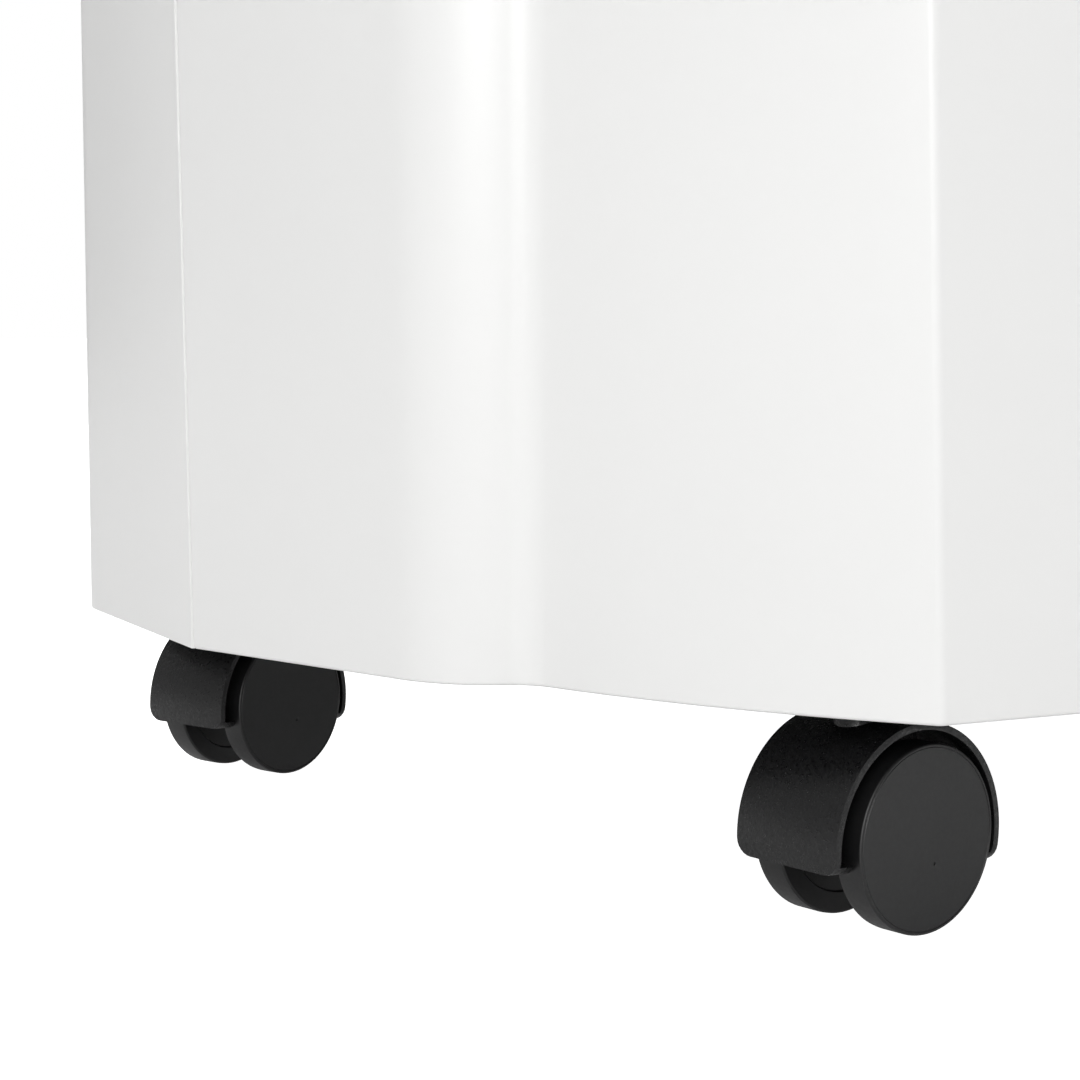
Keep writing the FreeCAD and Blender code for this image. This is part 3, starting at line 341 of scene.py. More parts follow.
def soften(piece: bpy.types.Object, width: float, segments: int = 3, angle: float = 35.0) -> bpy.types.Object:
    """Round every hard edge of a piece a little and shade the rest smooth.

    Args:
        piece: the piece to finish.
        width: the rounding's width.
        segments: steps in each rounding.
        angle: edges sharper than this many degrees are rounded.

    Returns:
        The piece.
    """
    choose(piece)
    bevel = piece.modifiers.new("Rounding", "BEVEL")
    bevel.width = width
    bevel.segments = segments
    bevel.limit_method = "ANGLE"
    bevel.angle_limit = math.radians(angle)
    bevel.harden_normals = False
    bpy.ops.object.modifier_apply(modifier=bevel.name)
    bpy.ops.object.shade_smooth_by_angle(angle=math.radians(angle))
    return piece


def copied(piece: bpy.types.Object, name: str, place: Matrix) -> bpy.types.Object:
    """A copy of a piece with its own mesh, moved to a place.

    Args:
        piece: the piece to copy.
        name: the copy's name.
        place: where the copy goes, applied to its mesh.

    Returns:
        The copy.
    """
    choose(piece)
    bpy.ops.object.duplicate()
    copy = bpy.context.object
    copy.matrix_world = place
    bpy.ops.object.transform_apply(location=True, rotation=True, scale=True)
    copy.name = name
    copy.data.name = name
    return copy


def joined(pieces: Sequence[bpy.types.Object]) -> bpy.types.Object:
    """Several pieces made one object, which keeps the first one's name."""
    choose(pieces[0])
    for piece in pieces:
        piece.select_set(True)
    bpy.ops.object.join()
    return pieces[0]


def from_cad(node: str, width: float, segments: int = 2, angle: float = 35.0) -> bpy.types.Object:
    """A welded copy of a CAD node with its hard edges rounded.

    Args:
        node: the CAD node to copy.
        width: the rounding's width.
        segments: steps in each rounding.
        angle: edges sharper than this many degrees are rounded.

    Returns:
        The copy, which is free of the node's body.
    """
    choose(frame["nodes"][node])
    bpy.ops.object.duplicate()
    piece = bpy.context.object
    piece.parent = None
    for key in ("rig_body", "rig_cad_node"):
        piece.pop(key, None)
    piece.name = f"{node}_skin"
    piece.data.name = piece.name
    with editing(piece):
        bpy.ops.mesh.select_all(action="SELECT")
        bpy.ops.mesh.remove_doubles(threshold=1e-5)
        bpy.ops.mesh.dissolve_limited(angle_limit=math.radians(1))
    return soften(piece, width, segments, angle)


# ------------------------------------------------------------------ finishes

def linear(colour: str) -> tuple[float, float, float, float]:
    """Linear RGBA of an sRGB hex colour such as 'f2f2f0'."""
    channels = [int(colour[index:index + 2], 16) / 255 for index in (0, 2, 4)]
    light = [value / 12.92 if value <= 0.04045 else ((value + 0.055) / 1.055) ** 2.4 for value in channels]
    return (*light, 1.0)


def add_node(tree: bpy.types.NodeTree, kind: str, inputs: dict | None = None,
             **settings: object) -> bpy.types.Node:
    """Add one shader node.

    Args:
        tree: the node tree to add it to.
        kind: the node's type, without the ShaderNode prefix.
        inputs: socket name or number to a value, or to the output socket to link from.
        settings: properties of the node itself.

    Returns:
        The new node.
    """
    node = tree.nodes.new(f"ShaderNode{kind}")
    for name, value in settings.items():
        setattr(node, name, value)
    for socket, value in (inputs or {}).items():
        if isinstance(value, bpy.types.NodeSocket):
            tree.links.new(value, node.inputs[socket])
        else:
            node.inputs[socket].default_value = value
    return node


@dataclass(frozen=True)
class Moulded:
    """An injection-moulded or cast surface: its colour, its gloss and the grain of the mould.

    Attributes:
        name: what the finish is called.
        colour: main colour, as sRGB hex.
        shade: a slightly different colour that drifts through it, as sRGB hex.
        roughness: mean roughness; it wanders by about a tenth either way.
        grain: size of the mould's grain, in millimetres.
        relief: height of that grain, in millimetres.
        ior: index of refraction.
        metallic: 1 for bare metal.
        coat: strength of a clear gloss on top.
        clear: share of light that passes through.
        speckle: how strongly small bright flecks of the grain catch the light, 0 for none.
    """

    name: str
    colour: str
    shade: str
    roughness: float
    grain: float
    relief: float
    ior: float = 1.53
    metallic: float = 0.0
    coat: float = 0.0
    clear: float = 0.0
    speckle: float = 0.0

    def material(self) -> bpy.types.Material:
        """The finish as a material, made once and then shared."""
        made = bpy.data.materials.get(self.name)
        if made:
            return made
        made = bpy.data.materials.new(self.name)
        made.use_nodes = True
        tree = made.node_tree
        tree.nodes.clear()
        place = add_node(tree, "TexCoord").outputs["Object"]
        drift = add_node(tree, "TexNoise", {"Vector": place, "Scale": 9.0, "Detail": 3.0})
        tint = add_node(tree, "MixRGB", {0: drift.outputs["Fac"], 1: linear(self.colour),
                                         2: linear(self.shade)})
        grain = add_node(tree, "TexNoise", {"Vector": place, "Scale": 1 / (self.grain * MM), "Detail": 4.0,
                                            "Roughness": 0.6})
        low, high = self.roughness * (0.9 - 0.5 * self.speckle), self.roughness * (1.1 + 0.2 * self.speckle)
        gloss = add_node(tree, "MapRange", {"Value": grain.outputs["Fac"], "From Min": 0.3, "From Max": 0.7,
                                            "To Min": high, "To Max": low})
        bump = add_node(tree, "Bump", {"Height": grain.outputs["Fac"], "Strength": 1.0,
                                       "Distance": self.relief * MM})
        shader = add_node(tree, "BsdfPrincipled", {
            "Base Color": tint.outputs[0], "Roughness": gloss.outputs[0], "Normal": bump.outputs[0],
            "Metallic": self.metallic, "IOR": self.ior, "Coat Weight": self.coat, "Coat Roughness": 0.08,
            "Transmission Weight": self.clear})
        add_node(tree, "OutputMaterial", {"Surface": shader.outputs[0]})
        return made


# ABS, injection moulded in a polished tool: a satin-gloss white with the faintest orange peel.
WHITE_ABS = Moulded("white_abs_satin", "eeeeed", "ebebea", 0.34, 3.0, 0.012)
# The same ABS from a spark-eroded tool, used where hands and air go.
GREY_ABS = Moulded("grey_abs_fine_texture", "c9cacb", "c2c3c4", 0.5, 0.5, 0.03)
# Glass-filled polypropylene from a coarse spark-eroded tool: black, with flecks that catch the light.
CASTER_PP = Moulded("black_polypropylene_textured", "0c0c0d", "0f0f10", 0.46, 0.85, 0.1, 1.49, speckle=1.0)
# Polyamide from a fine tool: the smooth satin black of caster wheels.
WHEEL_PA = Moulded("black_polyamide_satin", "0e0e0f", "111112", 0.44, 0.9, 0.006, 1.53)
BLACK_GLOSS = Moulded("black_acrylic_gloss", "0c0d0f", "0e0f11", 0.08, 4.0, 0.002, 1.49, coat=0.6)
SMOKED_LENS = Moulded("smoked_acrylic", "050607", "08090b", 0.04, 4.0, 0.001, 1.49, coat=1.0)
BUTTON_GREY = Moulded("button_abs_silver_grey", "b9bbbd", "b3b5b8", 0.32, 0.6, 0.008)
ICON_WHITE = Moulded("printed_icon_white", "f4f4f4", "ededed", 0.5, 0.4, 0.002)
TANK_PP = Moulded("tank_polypropylene_milky", "d5dee4", "ccd6dd", 0.28, 1.5, 0.02, 1.49, clear=0.35)
WINDOW_PS = Moulded("window_styrene_clear", "dfeef5", "d5e8f1", 0.06, 4.0, 0.002, 1.59, clear=0.85)
HANDLE_GREY = Moulded("handle_polypropylene_grey", "7d8084", "76797d", 0.45, 0.6, 0.03)
FLOAT_FOAM = Moulded("float_expanded_foam", "f1f1ee", "e6e6e1", 0.85, 3.5, 0.35, 1.3)
TRAY_ABS = Moulded("tray_abs_natural", "dadad7", "d3d3cf", 0.45, 0.8, 0.02)
PAN_PP = Moulded("pan_polypropylene_black", "2a2b2c", "252627", 0.55, 0.8, 0.05, 1.49)
BLACK_RUBBER = Moulded("black_rubber_moulded", "17171a", "1b1b1d", 0.72, 0.5, 0.03, 1.52)
FILTER_FRAME = Moulded("filter_polypropylene_grey", "9fa2a6", "989b9f", 0.5, 0.6, 0.03)
FILTER_NET = Moulded("filter_nylon_net", "3c3e42", "34363a", 0.6, 0.4, 0.02)
BOARD_FR4 = Moulded("board_glass_epoxy_green", "1d4a2c", "173f25", 0.35, 1.2, 0.03, 1.55, coat=0.3)
ZINC = Moulded("zinc_plated_steel", "b9bcc0", "adb1b6", 0.28, 0.4, 0.006, 1.5, metallic=1.0)
STEEL_PIN = Moulded("ground_steel", "a9acaf", "9da0a4", 0.25, 0.3, 0.004, 1.5, metallic=1.0)
FIN_ALUMINIUM = Moulded("rolled_aluminium", "c3c6c9", "b6babe", 0.35, 0.6, 0.01, 1.5, metallic=1.0)
COPPER = Moulded("drawn_copper", "b8714a", "a8603c", 0.3, 0.8, 0.01, 1.5, metallic=1.0)
BLACK_ENAMEL = Moulded("stoved_enamel_black", "141415", "18181a", 0.25, 2.5, 0.03, 1.5, coat=0.4)


@dataclass
class Assembly:
    """What every sub-assembly shares: dressing its pieces and hanging them on their bodies."""

    made: list[str] = field(default_factory=list)

    def dress(self, piece: bpy.types.Object, finish: Moulded, *nodes: str) -> bpy.types.Object:
        """Give a finished piece its material and its body, and hide the CAD nodes it stands for.

        Args:
            piece: the finished piece.
            finish: the surface it gets.
            nodes: the CAD nodes it replaces, which are hidden; the first one also names its body.

        Returns:
            The piece.
        """
        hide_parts(*nodes)
        return self.attach(piece, finish, nodes[0])

    def attach(self, piece: bpy.types.Object, finish: Moulded, node: str) -> bpy.types.Object:
        """Dress an extra piece that rides with a node's body."""
        piece.data.materials.clear()
        piece.data.materials.append(finish.material())
        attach(piece, NODE_BODY[node])
        self.made.append(piece.name)
        LOG.info("%s rides on %s", piece.name, NODE_BODY[node])
        return piece

    def coat(self, finish: Moulded, *nodes: str) -> None:
        """Give CAD nodes that stay as they are a material."""
        for node in nodes:
            shown = frame["nodes"][node]
            shown.data.materials.clear()
            shown.data.materials.append(finish.material())
            self.made.append(node)


# ------------------------------------------------------------------ cabinet

@dataclass(frozen=True)
class Plan:
    """The cabinet's plan at any height: a panel, a bulge, a valley, a flank and a crease on each side."""

    half_width: float = 190 * MM
    half_depth: float = 146.5 * MM
    skirt: float = 47.6 * MM
    shell_top: float = 572 * MM
    wall: float = 2.6 * MM
    seam_gap: float = 0.6 * MM
    kink_y: float = 24 * MM
    kink_lean: float = 23 * MM
    front_lean: float = 11 * MM
    rear_corner: float = 36 * MM
    bulge_centre: tuple[float, float] = (-136.4 * MM, -34.1 * MM)
    bulge_radius: float = 30 * MM
    bulge_turn: float = math.radians(70.3)
    valley_radius: float = 10.8 * MM
    valley_turn: float = math.radians(20.8)
    flank_radius: float = 250 * MM
    crease_radius: float = 3 * MM
    smallest_radius: float = 0.3 * MM

    def rise(self, height: float) -> float:
        """Share of the shell's height, 0 at the skirt and 1 at its top."""
        return (height - self.skirt) / (self.shell_top - self.skirt)

    def seam_y(self, height: float) -> float:
        """Y of the side seam at a height."""
        return self.kink_y + self.kink_lean * self.rise(height)

    def front_y(self, height: float) -> float:
        """Y of the front face at a height."""
        return -self.half_depth + self.front_lean * self.rise(height)

    @staticmethod
    def inward(angle: float) -> Vector:
        """Unit vector that points into the cabinet from a wall at an angle to the depth axis."""
        return Vector((math.cos(angle), math.sin(angle), 0))

    def arc(self, centre: Vector, radius: float, start: float, end: float, steps: int) -> list[Vector]:
        """Points of an arc between two wall angles; a negative radius curves the other way."""
        turns = [start + (end - start) * index / steps for index in range(steps + 1)]
        return [centre - self.inward(turn) * radius for turn in turns]

    def left_front(self, height: float, inset: float, run_back: float | None) -> list[Vector]:
        """The left half of the front, from the seam to the middle.

        Args:
            height: height above the floor.
            inset: how far inside the outer surface.
            run_back: how far the side panel runs on behind the seam, or None to end at the seam's corner.

        Returns:
            Points from the seam to the last one before the middle.
        """
        seam = Vector((-self.half_width, self.seam_y(height), 0))
        bulge = Vector((*self.bulge_centre, 0))
        reach = bulge - seam
        panel_turn = math.atan2(reach.y, reach.x) + math.acos(self.bulge_radius / reach.length)
        forward = Vector((math.sin(panel_turn), -math.cos(panel_turn), 0))
        if run_back is None:
            start = seam + Vector((inset, inset * math.tan(panel_turn / 2), 0))
        else:
            start = seam + self.inward(panel_turn) * inset - forward * run_back
        valley = bulge - self.inward(self.bulge_turn) * (self.bulge_radius + self.valley_radius)
        flank = valley + self.inward(self.valley_turn) * (self.valley_radius + self.flank_radius)
        flank_radius = self.flank_radius - inset
        crease_radius = max(self.crease_radius - inset, self.smallest_radius)
        front = self.front_y(height) + inset
        drop = flank.y - front - crease_radius
        crease = Vector((flank.x - math.sqrt((flank_radius - crease_radius) ** 2 - drop ** 2),
                         front + crease_radius, 0))
        flank_turn = math.atan2(drop, flank.x - crease.x)
        points = [start]
        points += self.arc(bulge, self.bulge_radius - inset, panel_turn, self.bulge_turn, 26)
        points += self.arc(valley, -(self.valley_radius + inset), self.bulge_turn, self.valley_turn, 18)[1:]
        points += self.arc(flank, flank_radius, self.valley_turn, flank_turn, 12)[1:]
        points += self.arc(crease, crease_radius, flank_turn, math.pi / 2, 8)[1:]
        return [point + Vector((0, 0, height)) for point in points]

    def front(self, height: float, inset: float = 0.0, run_back: float | None = None) -> list[Vector]:
        """The whole front, from the left-hand seam to the right-hand one."""
        left = self.left_front(height, inset, run_back)
        return left + mirrored(left)

    def rear(self, height: float, inset: float = 0.0, start: float | None = None) -> list[Vector]:
        """The back, from the right-hand seam round to the left-hand one.

        Args:
            height: height above the floor.
            inset: how far inside the outer surface.
            start: Y where it begins, or None for just behind the seam.

        Returns:
            The points of the back.
        """
        begin = self.seam_y(height) + self.seam_gap if start is None else start
        radius = self.rear_corner - inset
        centre = Vector((self.rear_corner - self.half_width, self.half_depth - self.rear_corner, 0))
        corner = self.arc(centre, radius, 0, -math.pi / 2, 18)
        left = [Vector((inset - self.half_width, begin, 0)), *corner]
        left = [point + Vector((0, 0, height)) for point in left]
        return mirrored(left[::-1]) + left[::-1]

    def whole(self, height: float, inset: float = 0.0) -> list[Vector]:
        """The closed outline of the whole cabinet."""
        front = self.front(height, inset)
        return front + self.rear(height, inset, front[0].y)[1:-1]


def mirrored(points: Sequence[Vector]) -> list[Vector]:
    """The same points on the other side of the middle plane, in running order."""
    return [Vector((-point.x, point.y, point.z)) for point in reversed(points)]


PLAN = Plan()


@dataclass
class Cabinet(Assembly):
    """The two white shells, the floor pan and the hand grips."""

    edge: float = 0.9 * MM
    grip_low: tuple[float, float] = (50 * MM, 470 * MM)
    grip_high: tuple[float, float] = (120 * MM, 500 * MM)
    grip_corner: float = 9 * MM
    grip_depth: float = 21 * MM
    screw_seat: float = 3.8 * MM
    port_height: float = 280 * MM
    drain_x: float = -110 * MM
    drain_radius: float = 16 * MM
    drain_depth: float = 12 * MM
    spout_room: float = 8.3 * MM
    bush_x: float = 110 * MM
    bush_radius: float = 9 * MM
    bay: tuple[float, float, float] = (143.5 * MM, 53 * MM, 256 * MM)
    grille: tuple[float, float, float] = (125 * MM, 304 * MM, 545 * MM)

    def build(self) -> None:
        """Make every piece of the cabinet."""
        self.front_shell()
        self.rear_shell()
        self.dress(from_cad("base_pan", 0.5 * MM), PAN_PP, "base_pan")
        for label, side in (("left", -1), ("right", 1)):
            self.grip_cup(label, side)

    def front_shell(self) -> None:
        """The front moulding: one wall between the two seams, its rim rounded."""
        low, high, wall = PLAN.skirt, PLAN.shell_top, PLAN.wall
        paths = [PLAN.front(low, run_back=0.0), PLAN.front(high, run_back=0.0),
                 PLAN.front(high, wall, run_back=0.0), PLAN.front(low, wall, run_back=0.0)]
        shell = skin_paths("front_shell_skin", paths, closed=False)
        self.dress(soften(shell, self.edge, 4, 50), WHITE_ABS, "front_shell")

    def rear_shell(self) -> None:
        """The rear moulding, with its bay, grille opening, hand holes, ports and screw seats."""
        low, high, wall = PLAN.skirt, PLAN.shell_top, PLAN.wall
        paths = [PLAN.rear(low), PLAN.rear(high), PLAN.rear(high, wall), PLAN.rear(low, wall)]
        shell = skin_paths("rear_shell_skin", paths, closed=False)
        back, inside = PLAN.half_depth + 2 * MM, PLAN.half_depth - wall - 2 * MM
        tools = []
        for half, bottom, top in (self.bay, self.grille):
            tools.append(block("opening", (-half, inside, bottom), (half, back, top), 3 * MM, Axis.Y))
        for side in BOTH_SIDES:
            outer, inner = side * (PLAN.half_width + 2 * MM), side * (PLAN.half_width - wall - 3 * MM)
            tools.append(block("hand_hole", (min(outer, inner), *self.grip_low),
                               (max(outer, inner), *self.grip_high), self.grip_corner, Axis.X))
        for x, height in SCREW_PLACES:
            seat = (x, PLAN.half_depth - 1.5 * MM, height)
            tools.append(rod("screw_seat", self.screw_seat, seat, 4 * MM, Axis.Y, 32))
        tools.append(rod("drain_hole", self.drain_radius, (self.drain_x, inside, self.port_height),
                         10 * MM, Axis.Y))
        tools.append(rod("bush_hole", self.bush_radius + 0.1 * MM, (self.bush_x, inside, self.port_height),
                         10 * MM, Axis.Y))
        carve(shell, tools)
        self.dress(soften(shell, 0.6 * MM, 3, 50), WHITE_ABS, "rear_shell")
        self.drain_cup()

    def drain_cup(self) -> None:
        """The round recess that the drain stands in."""
        floor = PLAN.half_depth - self.drain_depth - 2 * MM
        start = (self.drain_x, floor, self.port_height)
        cup = rod("drain_cup", self.drain_radius + 1.5 * MM, start, self.drain_depth - 0.7 * MM, Axis.Y)
        hollow = rod("hollow", self.drain_radius, (self.drain_x, floor + 2 * MM, self.port_height),
                     20 * MM, Axis.Y)
        hole = rod("hole", self.spout_room, (self.drain_x, floor - 5 * MM, self.port_height), 20 * MM, Axis.Y)
        self.attach(soften(carve(cup, [hollow, hole]), 0.4 * MM), WHITE_ABS, "rear_shell")

    def grip_cup(self, label: str, side: int) -> None:
        """A hollow hand cup behind the hole in one side.

        Args:
            label: left or right.
            side: -1 or 1.
        """
        face, wall = PLAN.half_width - PLAN.wall, 2.4 * MM
        inner = face - self.grip_depth

        def cup(name: str, near: float, far: float, room: float, corner: float) -> bpy.types.Object:
            """A block between two distances from the middle plane, with room around the hand hole."""
            edges = sorted((side * near, side * far))
            return block(name, (edges[0], self.grip_low[0] - room, self.grip_low[1] - room),
                         (edges[1], self.grip_high[0] + room, self.grip_high[1] + room), corner, Axis.X)
        outer = cup(f"grip_cup_{label}_skin", inner, face - 1.3 * MM, wall, self.grip_corner + wall)
        hollow = cup("hollow", inner + wall, face + 5 * MM, 0.0, self.grip_corner)
        floor_x = side * (inner + wall)
        with editing(hollow):
            pick_edges(lambda a, b: max(abs(a.x - floor_x), abs(b.x - floor_x)) < 1e-6)
            bpy.ops.mesh.bevel(offset=5 * MM, segments=5, affect="EDGES")
        self.dress(soften(carve(outer, [hollow]), 0.5 * MM), GREY_ABS, f"grip_cup_{label}")


# ------------------------------------------------------------------ top deck

@dataclass
class TopDeck(Assembly):
    """The top cover with its control panel, buttons and outlet louvre."""

    seam: float = 572.6 * MM
    top: float = 597 * MM
    plate: float = 4 * MM
    shoulder: float = 2.6 * MM
    fascia_low: tuple[float, float] = (-85.7 * MM, -126.7 * MM)
    fascia_high: tuple[float, float] = (85.7 * MM, -89.3 * MM)
    fascia_corner: float = 5 * MM
    lens_low: tuple[float, float] = (-20 * MM, -120 * MM)
    lens_high: tuple[float, float] = (20 * MM, -96 * MM)
    lens_depth: float = 1.2 * MM
    light_y: float = -94 * MM
    button_y: float = -108 * MM
    button_radius: float = 6.9 * MM
    button_top: float = 599.4 * MM
    button_foot: float = 590 * MM
    button_inner_x: float = 42 * MM
    button_outer_x: float = 66 * MM
    flange_radius: float = 8.4 * MM
    flange_height: float = 2.6 * MM
    plunger_radius: float = 2.5 * MM
    plunger_foot: float = 584 * MM
    filter_half: float = 131 * MM
    filter_slot: tuple[float, float] = (133.5 * MM, 142.5 * MM)
    outlet_half: float = 110 * MM
    outlet_front: float = 10 * MM
    outlet_back: float = 80 * MM
    hinge: tuple[float, float] = (76.5 * MM, 595.1 * MM)
    slats: int = 7

    def button_places(self) -> dict[str, float]:
        """Name and X of each button."""
        return {"power_button": -self.button_outer_x, "fan_button": -self.button_inner_x,
                "down_button": self.button_inner_x, "up_button": self.button_outer_x}

    def build(self) -> None:
        """Make every piece of the top deck."""
        self.top_cover()
        self.fascia()
        for node, x in self.button_places().items():
            self.button(node, x)
        self.louvre()
        self.coat(BOARD_FR4, "control_board")

    def top_cover(self) -> None:
        """The lid of the cabinet: a shallow shell with a rounded shoulder and its openings."""
        inner = self.top - self.plate
        outline, lining = PLAN.whole(self.seam), PLAN.whole(self.seam, PLAN.wall)
        lid = skin_paths("top_cover_skin", [outline, lifted(outline, self.top - self.seam),
                                            lifted(lining, inner - self.seam), lining], closed=True)
        with editing(lid):
            pick_faces(lambda centre, normal: normal.z > 0.5 or (normal.z < -0.5 and centre.z > inner - MM))
            bpy.ops.mesh.delete(type="ONLY_FACE")
            for height in (self.top, inner):
                bpy.ops.mesh.select_all(action="DESELECT")
                pick_edges(lambda a, b: abs(a.z - height) < 1e-6 and abs(b.z - height) < 1e-6)
                bpy.ops.mesh.edge_face_add()
            bpy.ops.mesh.select_all(action="SELECT")
            bpy.ops.mesh.normals_make_consistent(inside=False)
            pick_edges(lambda a, b: abs(a.z - self.top) < 1e-6 and abs(b.z - self.top) < 1e-6)
            bpy.ops.mesh.bevel(offset=self.shoulder, segments=6, affect="EDGES")
        above, under = self.top + 3 * MM, inner - 3 * MM
        gap = 0.3 * MM
        tools = [
            block("panel_seat", (self.fascia_low[0] - gap, self.fascia_low[1] - gap, self.top - 2 * MM),
                  (self.fascia_high[0] + gap, self.fascia_high[1] + gap, above), self.fascia_corner + gap),
            block("outlet", (-self.outlet_half, self.outlet_front, under),
                  (self.outlet_half, self.outlet_back, above), 3 * MM),
            block("filter_slot", (-self.filter_half, self.filter_slot[0], under),
                  (self.filter_half, self.filter_slot[1], above)),
        ]
        tools += [rod("button_hole", self.button_radius + gap, (x, self.button_y, under), 12 * MM, sides=48)
                  for x in self.button_places().values()]
        carve(lid, tools)
        self.dress(soften(lid, 0.5 * MM, 3, 40), WHITE_ABS, "top_cover")

    def fascia(self) -> None:
        """The gloss black panel with its window, and a small status light behind each button."""
        top, bottom = self.top + 0.4 * MM, self.top - 2 * MM
        panel = block("control_fascia_skin", (*self.fascia_low, bottom), (*self.fascia_high, top),
                      self.fascia_corner)
        tools = [rod("button_hole", self.button_radius + 0.3 * MM, (x, self.button_y, bottom - MM),
                     8 * MM, sides=48) for x in self.button_places().values()]
        gap = 0.2 * MM
        tools.append(block("lens_seat",
                           (self.lens_low[0] - gap, self.lens_low[1] - gap, top - self.lens_depth),
                           (self.lens_high[0] + gap, self.lens_high[1] + gap, top + MM), 2.2 * MM))
        self.dress(soften(carve(panel, tools), 0.25 * MM), BLACK_GLOSS, "control_fascia")
        lens = block("display_lens_skin", (*self.lens_low, top - self.lens_depth), (*self.lens_high, top),
                     2 * MM)
        self.dress(soften(lens, 0.2 * MM), SMOKED_LENS, "display_lens")
        lights = [rod("status_lights", 0.8 * MM, (x, self.light_y, top - 0.3 * MM), 0.4 * MM, sides=16)
                  for x in self.button_places().values()]
        self.attach(joined(lights), ICON_WHITE, "control_fascia")

    def button(self, node: str, x: float) -> None:
        """A push button with a dished cap, its stem and flange, and a plain raised icon.

        Args:
            node: the button's CAD node.
            x: its place across the panel.
        """
        spot = (x, self.button_y, self.button_foot)
        cap = rod(f"{node}_skin", self.button_radius, spot, self.button_top - self.button_foot, sides=64)
        with editing(cap):
            pick_faces(lambda centre, normal: normal.z > 0.9)
            bpy.ops.mesh.inset(thickness=1.0 * MM, depth=0)
            bpy.ops.mesh.inset(thickness=0.8 * MM, depth=-0.25 * MM)
        flange = rod("flange", self.flange_radius, spot, self.flange_height)
        plunger = rod("plunger", self.plunger_radius, (x, self.button_y, self.plunger_foot), 7 * MM, sides=32)
        self.dress(soften(joined([cap, flange, plunger]), 0.3 * MM), BUTTON_GREY, node)
        icon = joined(list(self.icon(node, x, self.button_top - 0.3 * MM)))
        icon.name = f"{node}_icon"
        self.attach(icon, HANDLE_GREY, node)

    def icon(self, node: str, x: float, height: float) -> Iterator[bpy.types.Object]:
        """The strokes of one plain icon: a bar and ring, three blades, or a triangle.

        Args:
            node: the button it belongs to.
            x: the button's place across the panel.
            height: height of the icon's underside.

        Yields:
            Thin mesh objects.
        """
        thick = 0.28 * MM
        if node == "power_button":
            ring = rod("ring", 2.6 * MM, (x, self.button_y, height), thick, sides=48)
            yield carve(ring, [rod("hole", 2.0 * MM, (x, self.button_y, height - MM), 3 * MM, sides=48)])
            yield block("bar", (x - 0.3 * MM, self.button_y + 0.4 * MM, height),
                        (x + 0.3 * MM, self.button_y + 3.2 * MM, height + thick))
            return
        points, reach = (3, 1.25) if node == "fan_button" else (1, 2.2)
        for index in range(points):
            deselect_all()
            turn = math.tau * index / points + (math.pi / 2 if node != "down_button" else -math.pi / 2)
            offset = Vector((math.cos(turn), math.sin(turn), 0)) * (1.6 * MM if points > 1 else 0)
            middle = Vector((x, self.button_y, height + thick / 2))
            bpy.ops.mesh.primitive_cylinder_add(vertices=3, radius=reach * MM, depth=thick,
                                                location=middle + offset, rotation=(0, 0, turn - math.pi / 2))
            yield name_active("blade")

    def louvre(self) -> None:
        """The hinged outlet flap: a rounded frame with tilted slats between its sides, and two pins."""
        bottom, top = 593.6 * MM, 596.6 * MM
        edge, front, tail = self.outlet_half - 0.8 * MM, self.outlet_front + 0.8 * MM, 78.3 * MM
        border = 8 * MM
        frame_plate = block("outlet_louvre_skin", (-edge, front, bottom), (edge, tail, top), 2.2 * MM)
        window = block("window", (border - edge, front + border * 0.7, bottom - MM),
                       (edge - border, tail - border, top + MM), 2 * MM)
        pieces = [soften(carve(frame_plate, [window]), 0.4 * MM)]
        first, last = front + border * 0.7, tail - border
        pitch = (last - first) / self.slats
        for index in range(self.slats):
            middle = first + pitch * (index + 0.5)
            slat = block("slat", (border - edge - MM, middle - 3.1 * MM, bottom + 1.0 * MM),
                         (edge - border + MM, middle + 3.1 * MM, bottom + 1.9 * MM))
            with editing(slat):
                bpy.ops.mesh.select_all(action="SELECT")
                bpy.ops.transform.rotate(value=math.radians(16), orient_axis="X",
                                         center_override=(0, middle, bottom + 1.45 * MM))
            pieces.append(soften(slat, 0.3 * MM))
        for start in (-edge - 4 * MM, edge - MM):
            pieces.append(rod("pin", 1.2 * MM, (start, *self.hinge), 5 * MM, Axis.X, 24))
        self.dress(joined(pieces), WHITE_ABS, "outlet_louvre")


def lifted(points: Iterable[Vector], height: float) -> list[Vector]:
    """The same points, raised."""
    return [point + Vector((0, 0, height)) for point in points]


# ------------------------------------------------------------------ back

